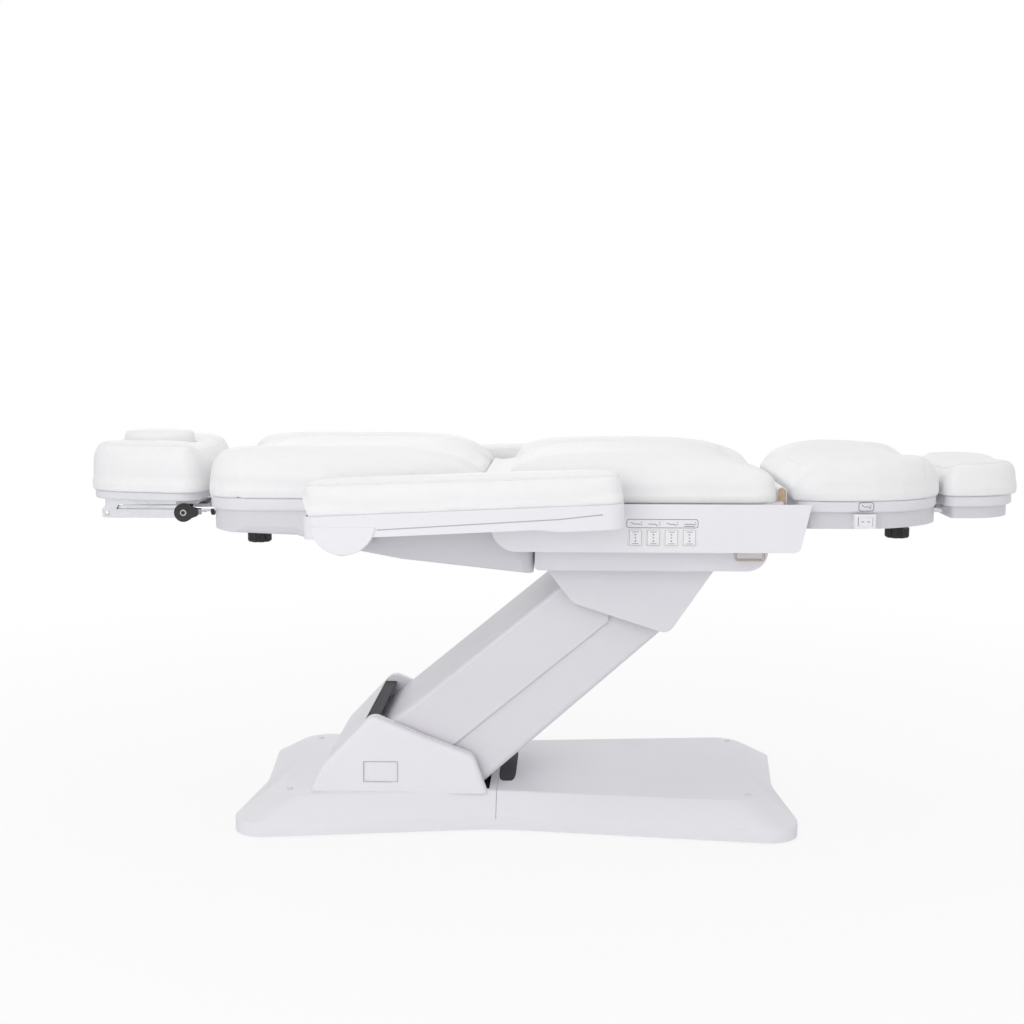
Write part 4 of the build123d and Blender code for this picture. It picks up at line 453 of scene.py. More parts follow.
WHITE_LEATHER = Leather("white_leather_grain")
BOARD_LEATHER = Leather("wrapped_board_leather", (0.79, 0.785, 0.82), (0.76, 0.755, 0.79))
WHITE_PLASTIC = MouldedPlastic("white_moulded_plastic", (0.86, 0.85, 0.885), (0.82, 0.81, 0.85))
PAN_PLASTIC = MouldedPlastic("pan_moulded_plastic", (0.71, 0.7, 0.735), (0.67, 0.66, 0.7))
ARM_PLASTIC = MouldedPlastic("lift_cover_plastic", (0.78, 0.77, 0.805), (0.73, 0.72, 0.76))
BASE_PLASTIC = MouldedPlastic("base_moulded_plastic", (0.87, 0.86, 0.895), (0.82, 0.81, 0.85), 0.4)
KEY_PLASTIC = MouldedPlastic("white_key_plastic", (0.88, 0.88, 0.9), (0.85, 0.85, 0.87), 0.3)
# Painted shade: a dark colour for thin tubes laid along grooves and recess edges where shade falls.
PAINTED_SHADE_LINE = MouldedPlastic("shaded_groove", (0.46, 0.45, 0.5), (0.42, 0.41, 0.46), 0.5)
IVORY = MouldedPlastic("ivory_washer", (0.72, 0.68, 0.6), (0.6, 0.56, 0.48))
PAINTED = PaintedSteel("powder_coated_steel")
ZINC = Metal("zinc_plated_steel")
CHROME = Metal("chrome_plate", (0.82, 0.83, 0.85), 0.12, lines=500.0, line_depth=0.00001)
BRIGHT = Metal("bright_rivet_steel", (0.8, 0.8, 0.81), 0.22, stain=0.1)
BRASS = Metal("dull_brass_wire", (0.5, 0.44, 0.37), 0.3)
BLACK = DarkPlastic("black_moulded_nylon")
RUBBER = DarkPlastic("black_rubber_foot", roughness=0.72, texture=700.0)
SEAL = DarkPlastic("dark_seal_rubber", (0.035, 0.035, 0.04), roughness=0.7)
PLY = Plywood("birch_plywood")
SUEDE = Suede("leather_nap")
THREAD = Thread("white_sewing_thread", (0.86, 0.86, 0.87))
INK = Thread("grey_print", (0.14, 0.14, 0.17), roughness=0.5, twist=300.0)


def placed(name: str, data: bpy.types.ID) -> bpy.types.Object:
    """A new object with that data, in the scene."""
    piece = bpy.data.objects.new(name, data)
    bpy.context.scene.collection.objects.link(piece)
    return piece


def dress(mesh: bpy.types.Mesh, finish: Finish) -> None:
    """Gives a mesh one material."""
    mesh.materials.clear()
    mesh.materials.append(finish.material())


def carry(piece: bpy.types.Object, body: str) -> None:
    """Puts a piece on its body."""
    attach(piece, body)


def crisp(piece: bpy.types.Object, degrees: float = 35.0) -> None:
    """Shades those edges sharp that turn by more than the angle."""
    piece.data.set_sharp_from_angle(angle=math.radians(degrees))


def mesh_object(
    name: str,
    points: Iterable[Sequence[float]],
    faces: Iterable[Sequence[int]],
    finishes: Sequence[Finish],
) -> bpy.types.Object:
    """Makes a shown mesh piece.

    Args:
        name: the piece's name.
        points: its corners in metres.
        faces: its faces by corner number.
        finishes: its materials.

    Returns:
        The new object.
    """
    mesh = bpy.data.meshes.new(name)
    mesh.from_pydata([tuple(p) for p in points], [], [tuple(f) for f in faces])
    mesh.validate()
    mesh.polygons.foreach_set("use_smooth", [True] * len(mesh.polygons))
    for finish in finishes:
        mesh.materials.append(finish.material())
    return placed(name, mesh)


def as_mesh(piece: bpy.types.Object) -> bpy.types.Mesh:
    """A copy of a piece's mesh with its modifiers in it."""
    graph = bpy.context.evaluated_depsgraph_get()
    return bpy.data.meshes.new_from_object(piece.evaluated_get(graph), depsgraph=graph)


def settle(piece: bpy.types.Object) -> None:
    """Puts a piece's modifiers into its mesh."""
    done = as_mesh(piece)
    old = piece.data
    piece.modifiers.clear()
    piece.data = done
    bpy.data.meshes.remove(old)


def reshape(piece: bpy.types.Object, *steps: tuple[str, dict[str, Any]]) -> None:
    """Adds modifiers by type and settings, and puts them into the mesh."""
    for kind, values in steps:
        modifier = piece.modifiers.new(kind.lower(), kind)
        for key, value in values.items():
            setattr(modifier, key, value)
    settle(piece)


def box_of(mesh: bpy.types.Mesh) -> tuple[Vector, Vector]:
    """The low and the high corner of a mesh."""
    spots = [v.co for v in mesh.vertices]
    low = Vector([min(spot[i] for spot in spots) for i in range(3)])
    high = Vector([max(spot[i] for spot in spots) for i in range(3)])
    return low, high


def tree_of(mesh: bpy.types.Mesh) -> BVHTree:
    """A search tree of a mesh's faces."""
    return BVHTree.FromPolygons(
        [v.co.copy() for v in mesh.vertices], [tuple(p.vertices) for p in mesh.polygons]
    )


def point_tree(points: Sequence[Vector]) -> KDTree:
    """A search tree of points."""
    tree = KDTree(len(points))
    for index, point in enumerate(points):
        tree.insert(point, index)
    tree.balance()
    return tree


def resampled(path: Sequence[Vector], step: float, closed: bool) -> list[Vector]:
    """A path's points again, one step apart along it."""
    ring = list(path) + ([path[0]] if closed else [])
    lengths = [0.0]
    for first, second in zip(ring, ring[1:]):
        lengths.append(lengths[-1] + (second - first).length)
    count = max(4, round(lengths[-1] / step))
    out: list[Vector] = []
    at = 0
    for index in range(count if closed else count + 1):
        wanted = lengths[-1] * index / count
        while at < len(ring) - 2 and lengths[at + 1] < wanted:
            at += 1
        run = max(lengths[at + 1] - lengths[at], 1e-9)
        out.append(ring[at].lerp(ring[at + 1], (wanted - lengths[at]) / run))
    return out


def smooth_path(path: Sequence[Vector], rounds: int, closed: bool) -> list[Vector]:
    """A path with its corners averaged out."""
    points = [p.copy() for p in path]
    for _ in range(rounds):
        count = len(points)
        last = [p.copy() for p in points]
        for index in range(count):
            if not closed and index in (0, count - 1):
                continue
            points[index] = (
                last[index - 1] + last[index] * 2 + last[(index + 1) % count]
            ) / 4
    return points


def ring(centre: Vector, first: Vector, second: Vector, radius: float, sides: int) -> list[Vector]:
    """Points of a ring across two directions."""
    out: list[Vector] = []
    for turn in range(sides):
        angle = 2 * math.pi * turn / sides
        out.append(centre + (first * math.cos(angle) + second * math.sin(angle)) * radius)
    return out


def skin(count: int, sides: int, closed: bool = False) -> list[tuple[int, ...]]:
    """Faces over so many rings of points, with both ends covered if it isn't closed."""
    faces: list[tuple[int, ...]] = []
    for at in range(count if closed else count - 1):
        here = at * sides
        there = (at + 1) % count * sides
        for turn in range(sides):
            near = (turn + 1) % sides
            faces.append((here + turn, here + near, there + near, there + turn))
    if not closed:
        faces.append(tuple(reversed(range(sides))))
        faces.append(tuple(range((count - 1) * sides, count * sides)))
    return faces


def grid(rows: int, wide: int, upward: bool = True) -> list[tuple[int, ...]]:
    """Faces over rows of points, wide to a row, that face up or down."""
    faces: list[tuple[int, ...]] = []
    for row in range(rows):
        for at in range(row * wide, (row + 1) * wide - 1):
            face = (at, at + wide, at + wide + 1, at + 1)
            faces.append(face if upward else (face[0], face[3], face[2], face[1]))
    return faces


def rounded(
    low: Sequence[float], high: Sequence[float], radius: float, steps: int
) -> list[tuple[float, float]]:
    """Corners of a rounded rectangle, with so many points to each round."""
    out: list[tuple[float, float]] = []
    for x, y, first in (
        (high[0] - radius, high[1] - radius, 0),
        (low[0] + radius, high[1] - radius, 90),
        (low[0] + radius, low[1] + radius, 180),
        (high[0] - radius, low[1] + radius, 270),
    ):
        for step in range(steps):
            angle = math.radians(first + 90 * step / (steps - 1))
            out.append((x + radius * math.cos(angle), y + radius * math.sin(angle)))
    return out


def tube(path: Sequence[Vector], radius: float, sides: int, closed: bool = False) -> Form:
    """Points and faces of a round tube along a path."""
    points: list[Vector] = []
    count = len(path)
    for index, centre in enumerate(path):
        before = path[index - 1] if index or closed else centre
        after = path[(index + 1) % count] if index < count - 1 or closed else centre
        run = (after - before).normalized()
        side = run.cross(Axis.HEIGHT.value)
        if side.length < 0.05:
            side = run.cross(Axis.WIDTH.value)
        side.normalize()
        points += ring(centre, side, side.cross(run).normalized(), radius, sides)
    return points, skin(count, sides, closed)


def turned(profile: Knots, centre: Vector, axis: Vector, sides: int) -> Form:
    """Points and faces of a turned form.

    Args:
        profile: pairs of radius and distance along the axis, from one end to the other.
        centre: the start of the axis.
        axis: its direction.
        sides: how many corners each ring has.

    Returns:
        The points and the faces, closed at both ends.
    """
    axis = axis.normalized()
    first = axis.orthogonal().normalized()
    second = axis.cross(first)
    points: list[Vector] = []
    for radius, along in profile:
        points += ring(centre + axis * along, first, second, radius, sides)
    return points, skin(len(profile), sides)


def joined(parts: Sequence[Form]) -> Form:
    """Several point and face lists as one."""
    points: list[Vector] = []
    faces: list[tuple[int, ...]] = []
    for some_points, some_faces in parts:
        start = len(points)
        points.extend(some_points)
        faces.extend(tuple(i + start for i in face) for face in some_faces)
    return points, faces


def between(knots: Knots, at: float) -> float:
    """The value at a place in a list of places and values, straight in between."""
    if not knots:
        return 0.0
    if at <= knots[0][0]:
        return knots[0][1]
    for (low, first), (high, second) in zip(knots, knots[1:]):
        if at <= high:
            return first + (second - first) * (at - low) / max(high - low, 1e-9)
    return knots[-1][1]


@dataclass(frozen=True)
class Corner:
    """A rounded plan corner at the head end: where it starts and its radius."""

    start: float
    radius: float

    def edge(self, y: float, half: float) -> float:
        """X of the outline at a distance from the middle line."""
        into = min(max(abs(y) - (half - self.radius), 0.0), self.radius)
        return self.start + self.radius - math.sqrt(max(self.radius**2 - into**2, 0.0))


@dataclass(frozen=True)
class Fit:
    """Moves a solid's form by small steps onto the form in the photograph.

    along pairs a solid's X with the shown X. under and over pair X with the rise of the
    lower and of the upper face; below the share hold, over moves nothing. narrow takes
    so much off each side, and corners holds the solid's and the shown head corner.
    """

    along: Knots = ()
    under: Knots = ()
    over: Knots = ()
    hold: float = 0.0
    narrow: float = 0.0
    corners: tuple[Corner, ...] = ()
    blend_run: float = 0.2

    def levels(self, mesh: bpy.types.Mesh) -> tuple[Vector, Vector, Knots, Knots]:
        """The box of a mesh and its lower and upper face along X."""
        low, high = box_of(mesh)
        tree = tree_of(mesh)
        middle = (low.y + high.y) / 2
        half = (high.y - low.y) / 2
        floor: list[tuple[float, float]] = []
        top: list[tuple[float, float]] = []
        for step in range(41):
            x = low.x + 0.0005 + (high.x - low.x - 0.001) * step / 40
            tops = []
            floors = []
            for share in (-0.86, -0.5, 0.0, 0.5, 0.86):
                y = middle + half * share
                above = tree.ray_cast(Vector((x, y, high.z + 1)), Vector((0, 0, -1)))[0]
                below = tree.ray_cast(Vector((x, y, low.z - 1)), Vector((0, 0, 1)))[0]
                if above is not None and below is not None:
                    tops.append(above.z)
                    floors.append(below.z)
            if tops:
                floor.append((x, min(floors)))
                top.append((x, max(tops)))
        return low, high, floor, top

    def apply(self, mesh: bpy.types.Mesh) -> None:
        """Moves the mesh's points."""
        low, high, floor, top = self.levels(mesh)
        half = (high.y - low.y) / 2
        middle = (low.y + high.y) / 2
        squeeze = (half - self.narrow) / half
        for vertex in mesh.vertices:
            x, y, z = vertex.co
            bottom = between(floor, x)
            share = min(1.0, max(0.0, (z - bottom) / max(between(top, x) - bottom, 1e-6)))
            lifted = max(0.0, (share - self.hold) / (1.0 - self.hold))
            rise = between(self.under, x) * (1.0 - share) + between(self.over, x) * lifted
            place = between(self.along, x) if self.along else x
            if self.corners:
                solid, shown = self.corners
                edge = solid.edge(y - middle, half)
                inner = solid.start + self.blend_run
                weight = min(1.0, max(0.0, (inner - x) / (inner - edge)))
                place += (shown.edge(y - middle, half) - edge) * weight
            vertex.co = Vector((place, middle + (y - middle) * squeeze, z + rise))
        mesh.update()


PLAN_STEP = 0.006
SEAM_STEP = 0.003
SEAM_REACH = 0.045
GATHER_FALL = 0.013
GATHER_WAVE = 0.019
STITCH_STEP = 0.0055
STITCH_SHARE = 0.66
STITCH_ASIDE = 0.0042
STITCH_LIFTS = (-0.0002, 0.0003, -0.0002)
THREAD_RADIUS = 0.00055
END_PLAY = 0.0015
SIDE_PLAY = 0.004
FLOOR_PLAY = 0.0003
PINNED_HEIGHT = 0.008
PINNED_CELLS = 0.9
LEAST_HOLD = 0.02
RUMPLE_FROM = 0.01
RUMPLE_RUN = 0.02
ACROSS_STEPS = 80
RAY_START = 0.1
SWELLING = {
    "quality": 4,
    "mass": 0.35,
    "tension_stiffness": 12.0,
    "compression_stiffness": 12.0,
    "shear_stiffness": 6.0,
    "bending_stiffness": 0.6,
    "air_damping": 3.0,
    "use_pressure": True,
    "vertex_group_mass": "held",
}


@dataclass
class Seam:
    """A sewn line on a cushion, by how it lies and how far in from the outline.

    span is a panel's start and end, or twice the half of the width that a line across
    takes; share is a panel's width or where a line across lies.
    """

    lay: Lay
    inset: float = 0.012
    depth: float = 0.0008
    width: float = 0.0022
    pucker: float = 0.0004
    stitched: bool = False
    span: tuple[float, float] = (0.1, 0.9)
    share: float = 0.6
    corner: float = 0.06
    path: list[Vector] = field(default_factory=list)


@dataclass
class Cushion:
    """A cushion or wrapped board: its solid, its swelling and its seams."""

    node: str
    body: str
    seams: list[Seam] = field(default_factory=list)
    fit: Fit = Fit()
    finish: Finish = WHITE_LEATHER
    slot: str = "white_leather"
    voxel: float = 0.007
    shrink: float = 0.0025
    pressure: float = 4.0
    cap: float = 0.007
    fill: float = 0.85
    swells: bool = True
    smoothing: int = 5
    rumple: float = 0.0005
    rumple_size: float = 9.0
    foot_height: float = 0.03
    foot_reach: float = 0.02
    foot_squareness: float = 0.75
    piece: Optional[bpy.types.Object] = None

    def start(self) -> None:
        """Copies the solid, traces the seams on it and gets it ready to swell."""
        solid = frame["nodes"][self.node].data.copy()
        solid.materials.clear()
        self.fit.apply(solid)
        self.low, self.high = box_of(solid)
        self.form = tree_of(solid)
        self.floor = self.fit.levels(solid)[2]
        self._trace()
        self.piece = placed(f"{self.node}_upholstery", solid)
        reshape(
            self.piece,
            ("WELD", {"merge_threshold": 0.05 * MM}),
            ("REMESH", {"mode": "VOXEL", "voxel_size": self.voxel}),
        )
        reshape(self.piece, ("SMOOTH", {"factor": 0.5, "iterations": self.smoothing}))
        if not self.swells:
            return
        mesh = self.piece.data
        self._push(-self.shrink, self.low.z - 1.0)
        self.rest = [v.co.copy() for v in mesh.vertices]
        self._pin()
        self._blow()

    def _push(self, by: float, above: float) -> None:
        """Moves the surface along its normals over a height."""
        mesh = self.piece.data
        for vertex, normal in zip(mesh.vertices, [v.normal.copy() for v in mesh.vertices]):
            if vertex.co.z > above:
                vertex.co += normal * by

    def _pin(self) -> None:
        """Holds the sewn lines and the underside."""
        held = self.piece.vertex_groups.new(name="held")
        lines = point_tree([p for seam in self.seams for p in seam.path])
        for vertex in self.piece.data.vertices:
            if vertex.co.z < between(self.floor, vertex.co.x) + PINNED_HEIGHT:
                weight = 1.0
            else:
                weight = 1.0 - lines.find(vertex.co)[2] / (self.voxel * PINNED_CELLS)
            if weight > LEAST_HOLD:
                held.add([vertex.index], weight, "REPLACE")

    def _blow(self) -> None:
        """Adds the cloth that the pad swells with."""
        cloth = self.piece.modifiers.new("swell", "CLOTH")
        for key, value in SWELLING.items():
            setattr(cloth.settings, key, value)
        cloth.settings.uniform_pressure_force = self.pressure
        cloth.settings.effector_weights.gravity = 0.0
        cloth.collision_settings.use_collision = False
        cloth.collision_settings.use_self_collision = False
        cloth.point_cache.frame_start = 1
        cloth.point_cache.frame_end = Upholstery.steps

    def finish_form(self) -> None:
        """Caps the swelling, adds a level of faces and sews the seams in."""
        piece = self.piece
        if piece.modifiers.get("swell"):
            settle(piece)
            for vertex, rest in zip(piece.data.vertices, self.rest):
                move = vertex.co - rest
                if move.length > self.cap:
                    vertex.co = rest + move.normalized() * self.cap
            reshape(piece, ("SMOOTH", {"factor": 0.4, "iterations": 2}))
        piece.vertex_groups.clear()
        reshape(piece, ("SUBSURF", {"levels": 1, "render_levels": 1}))
        self._sew()
        if self.foot_height:
            self._set_down()
        self._keep_inside()
        mesh = piece.data
        mesh.polygons.foreach_set("use_smooth", [True] * len(mesh.polygons))
        dress(mesh, self.finish)
        mesh.name = piece.name
        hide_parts(self.node)
        carry(piece, self.body)
        log.info("%s: %d faces", piece.name, len(mesh.polygons))
        self._stitch()

    def _set_down(self) -> None:
        """Brings the underside and the foot of the sides back onto the solid's form."""
        for vertex in self.piece.data.vertices:
            height = vertex.co.z - between(self.floor, vertex.co.x)
            if height > self.foot_height:
                continue
            place = self.form.find_nearest(vertex.co)[0]
            above = vertex.co + Vector((0, 0, self.foot_height * 1.25 - height))
            wide = self.form.find_nearest(above)[0]
            if (wide - above).length < self.foot_reach:
                out = (wide - place) * self.foot_squareness
                place += Vector((out.x, out.y, 0.0))
            share = (self.foot_height - height) / (self.foot_height * 0.5)
            vertex.co = vertex.co.lerp(place, min(1.0, share))

    def _keep_inside(self) -> None:
        """Keeps the pad off its neighbours at both ends and flat underneath."""
        for vertex in self.piece.data.vertices:
            co = vertex.co
            co.x = min(max(co.x, self.low.x - END_PLAY), self.high.x + END_PLAY)
            co.y = min(max(co.y, self.low.y - SIDE_PLAY), self.high.y + SIDE_PLAY)
            co.z = max(co.z, between(self.floor, co.x) - FLOOR_PLAY)

    def _outline(self, inset: float) -> list[Vector]:
        """The plan outline at middle height, moved in by an inset."""
        middle = (self.low + self.high) / 2
        half = (self.high - self.low) / 2
        found: list[Vector] = []
        for turn in range(360):
            angle = math.radians(turn)
            out = Vector((math.cos(angle) * half.x, math.sin(angle) * half.y, 0.0))
            hit = self.form.ray_cast(middle + out * 2.0, -out.normalized())[0]
            if hit is not None:
                found.append(hit)
        even = resampled(found, PLAN_STEP, True)
        moved: list[Vector] = []
        for index, point in enumerate(even):
            run = even[(index + 3) % len(even)] - even[index - 3]
            moved.append(point + Vector((-run.y, run.x, 0.0)).normalized() * inset)
        return smooth_path(moved, 8, True)

    def _panel(self, seam: Seam) -> list[Vector]:
        """A rounded rectangle in plan inside the bolsters."""
        length = self.high.x - self.low.x
        start, end = (self.low.x + share * length for share in seam.span)
        middle = ((self.low + self.high) / 2).y
        half = (self.high.y - self.low.y) / 2 * seam.share
        plan = rounded((start, middle - half), (end, middle + half), seam.corner, 10)
        return resampled([Vector((x, y, 0)) for x, y in plan], PLAN_STEP, True)

    def _trace(self) -> None:
        """Lays each seam's path on the solid."""
        for seam in self.seams:
            if seam.lay is Lay.EDGE:
                plan = self._outline(seam.inset)
            elif seam.lay is Lay.PANEL:
                plan = self._panel(seam)
            else:
                x = self.low.x + seam.share * (self.high.x - self.low.x)
                half = (self.high.y - self.low.y) / 2 * seam.span[1]
                shares = [i * 2 / ACROSS_STEPS - 1 for i in range(ACROSS_STEPS + 1)]
                plan = [Vector((x, half * share, 0)) for share in shares]
            above = [Vector((point.x, point.y, self.high.z + RAY_START)) for point in plan]
            hits = [self.form.ray_cast(point, -Axis.HEIGHT.value)[0] for point in above]
            seam.path = [hit for hit in hits if hit is not None]

    def _sew(self) -> None:
        """Pulls the surface in along its seams, with gathers beside them."""
        mesh = self.piece.data
        surface = tree_of(mesh)
        # The sewn mark tells the leather's colour where to paint shade in the seams.
        sewn = mesh.attributes.new("sewn", "FLOAT", "POINT")
        amount = [0.0] * len(mesh.vertices)
        normals = [v.normal.copy() for v in mesh.vertices]
        moved = [v.co.copy() for v in mesh.vertices]
        for seam in self.seams:
            closed = seam.lay is not Lay.ACROSS
            near = [surface.find_nearest(p)[0] for p in seam.path]
            seam.path = smooth_path(resampled(near, SEAM_STEP, closed), 3, closed)
            line = point_tree(seam.path)
            for index, vertex in enumerate(mesh.vertices):
                _, at, away = line.find(vertex.co)
                if away > SEAM_REACH:
                    continue
                phase = 2 * math.pi * at * SEAM_STEP / GATHER_WAVE
                cut = math.exp(-((away / seam.width) ** 2))
                gather = math.exp(-away / GATHER_FALL) * (1.0 - cut)
                wave = math.sin(phase + 3 * noise.noise(vertex.co * 22))
                uneven = max(0.0, noise.noise(vertex.co * 6 + Vector((3, 1, 7))) + 0.35)
                push = -seam.depth * cut + seam.pucker * gather * wave * uneven * 2
                moved[index] += normals[index] * push
                amount[index] = max(amount[index], cut)
        for index, vertex in enumerate(mesh.vertices):
            top = min(1.0, max(0.0, (vertex.co.z - self.low.z - RUMPLE_FROM) / RUMPLE_RUN))
            soft = noise.noise(vertex.co * self.rumple_size) * self.rumple * 2
            vertex.co = moved[index] + normals[index] * soft * top
        sewn.data.foreach_set("value", amount)
        mesh.update()

    def _stitch(self) -> None:
        """Lays a row of stitches beside each stitched line."""
        pieces: list[Form] = []
        surface = tree_of(self.piece.data)
        for seam in self.seams:
            if not seam.stitched:
                continue
            line = resampled(seam.path, STITCH_STEP, True)
            for index, first in enumerate(line):
                second = first.lerp(line[(index + 1) % len(line)], STITCH_SHARE)
                normal = surface.find_nearest(first)[1]
                side = (second - first).normalized().cross(normal).normalized() * STITCH_ASIDE
                laid = []
                for point, lift in zip((first, (first + second) / 2, second), STITCH_LIFTS):
                    place, normal, _, _ = surface.find_nearest(point + side)
                    laid.append(place + normal * lift)
                pieces.append(tube(laid, THREAD_RADIUS, 5))
        if pieces:
            thread = mesh_object(f"{self.node}_stitching", *joined(pieces), [THREAD])
            carry(thread, self.body)
            log.info("%s: %d stitches", thread.name, len(pieces))


BACK_PAD_FIT = Fit(
    under=((-0.7, 0.025), (0.0, 0.025)), corners=(Corner(-0.66, 0.13), Corner(-0.673, 0.09))
)
BACK_BOARD_FIT = Fit(
    under=((-0.7, 0.02), (0.0, 0.02)),
    over=((-0.7, 0.025), (0.0, 0.025)),
    narrow=0.005,
    corners=(Corner(-0.66, 0.13), Corner(-0.668, 0.088)),
)
BACK_PAN_FIT = Fit(
    along=((-0.65, -0.65), (-0.08, -0.08), (-0.04, -0.028)),
    under=((-0.65, 0.015), (-0.1, 0.0)),
    over=((-0.7, 0.02), (0.0, 0.02)),
    corners=(Corner(-0.648, 0.118), Corner(-0.66, 0.078)),
)
SEAT_PAD_FIT = Fit(
    along=((-0.1, -0.1), (0.3, 0.3), (0.455, 0.438)),
    over=(
        (0.3, 0.0), (0.345, -0.004), (0.372, -0.002), (0.399, 0.007), (0.427, 0.023),
        (0.441, 0.034), (0.452, 0.036), (0.455, 0.035),
    ),
)
LEG_PAD_FIT = Fit(
    along=((0.476, 0.462), (0.53, 0.53), (0.7, 0.7), (0.777, 0.781)),
    under=((0.4, 0.008), (0.8, 0.008)),
    over=((0.476, -0.018), (0.49, -0.022), (0.507, -0.017), (0.53, -0.007), (0.56, 0.0)),
)
LEG_BOARD_FIT = Fit(
    under=((0.4, 0.003), (0.8, 0.003)), over=((0.4, 0.008), (0.8, 0.008)), narrow=0.003
)
LEG_PAN_FIT = Fit(
    along=((0.49, 0.49), (0.7, 0.7), (0.763, 0.772)), over=((0.4, 0.003), (0.8, 0.003))
)
FOOT_PAD_FIT = Fit(
    along=((0.783, 0.783), (0.963, 0.956)),
    over=((0.783, 0.004), (0.82, 0.01), (0.92, 0.01), (0.963, 0.004)),
)
FOOT_BOARD_FIT = Fit(along=((0.783, 0.79), (0.963, 0.946)), narrow=0.008)
FOOT_PAN_FIT = Fit(along=((0.795, 0.802), (0.951, 0.936)), narrow=0.006)
HEAD_FIT = Fit(along=((-0.963, -0.95), (-0.678, -0.697)))
HEAD_BOARD_FIT = Fit(along=((-0.96, -0.941), (-0.681, -0.704)), narrow=0.006)
ARM_PAD_FIT = Fit(under=((-0.45, 0.014), (0.142, 0.02)))
ARM_SHELL_FIT = Fit(
    under=((-0.1, 0.0), (0.0, 0.008), (0.143, 0.011)),
    over=((-0.45, 0.014), (0.142, 0.02)),
    hold=0.5,
)
ARM_GROOVE = ((-0.31, 0.631), (-0.121, 0.643), (0.024, 0.652), (0.102, 0.661))


@dataclass
class Upholstery:
    """All soft pieces of the chair."""

    steps: int = 14

    def build(self) -> None:
        """Makes the cushions, swells them together and sews them."""
        cushions = [*self.pads(), *self.boards()]
        for cushion in cushions:
            cushion.start()
        for step in range(1, self.steps + 1):
            bpy.context.scene.frame_set(step)
        for cushion in cushions:
            cushion.finish_form()
        bpy.context.scene.frame_set(1)

    @staticmethod
    def panel(start: float, end: float, share: float, corner: float) -> Seam:
        """The seam round a lower middle panel."""
        return Seam(Lay.PANEL, span=(start, end), share=share, corner=corner)

    @staticmethod
    def across(share: float, wide: float, pucker: float) -> Seam:
        """A gathered seam straight across."""
        return Seam(Lay.ACROSS, share=share, span=(0.0, wide), pucker=pucker)

    def pads(self) -> list[Cushion]:
        """The cushions with their seams."""
        edge = Lay.EDGE
        seat_seams = [self.panel(0.1, 0.9, 0.6, 0.08), self.across(0.875, 0.93, 0.0011)]
        leg_seams = [self.panel(0.14, 0.86, 0.56, 0.07), self.across(0.84, 0.86, 0.0009)]
        foot_seam = Seam(edge, inset=0.014, depth=0.0009, pucker=0.0002, stitched=True)
        pads = [
            Cushion(
                "back_cushion", "back", [self.panel(0.13, 0.93, 0.6, 0.09)], BACK_PAD_FIT,
                voxel=0.0075,
            ),
            Cushion("seat_cushion", "seat", seat_seams, SEAT_PAD_FIT, voxel=0.0075),
            Cushion("leg_cushion", "leg", leg_seams, LEG_PAD_FIT, voxel=0.0065),
            Cushion("foot_cushion", "foot", [foot_seam], FOOT_PAD_FIT, voxel=0.005, cap=0.006),
            Cushion(
                "head_cushion", "headrest", [Seam(edge, inset=0.014, depth=0.0005)], HEAD_FIT,
                voxel=0.0055, cap=0.004,
            ),
            Cushion(
                "face_plug", "plug", [Seam(edge, inset=0.009, depth=0.0005)], HEAD_FIT,
                voxel=0.004, shrink=0.001, cap=0.001,
            ),
        ]
        for side in Side:
            body = f"armrest_{side.name.lower()}"
            seam = Seam(edge, inset=0.009, depth=0.0005, stitched=True)
            pads.append(
                Cushion(
                    f"{body}_cushion", body, [seam], ARM_PAD_FIT,
                    voxel=0.0055, cap=0.004, foot_height=0.02,
                )
            )
        return pads

    @staticmethod
    def boards() -> list[Cushion]:
        """The leather-wrapped boards under the cushions."""
        places = (
            ("back_board", "back", BACK_BOARD_FIT),
            ("leg_board", "leg", LEG_BOARD_FIT),
            ("foot_board", "foot", FOOT_BOARD_FIT),
            ("head_board", "headrest", HEAD_BOARD_FIT),
        )
        return [
            Cushion(
                node, body, [], fit, BOARD_LEATHER, voxel=0.0035, swells=False, smoothing=1,
                rumple=0.0001, fill=1.0, foot_height=0.0,
            )
            for node, body, fit in places
        ]


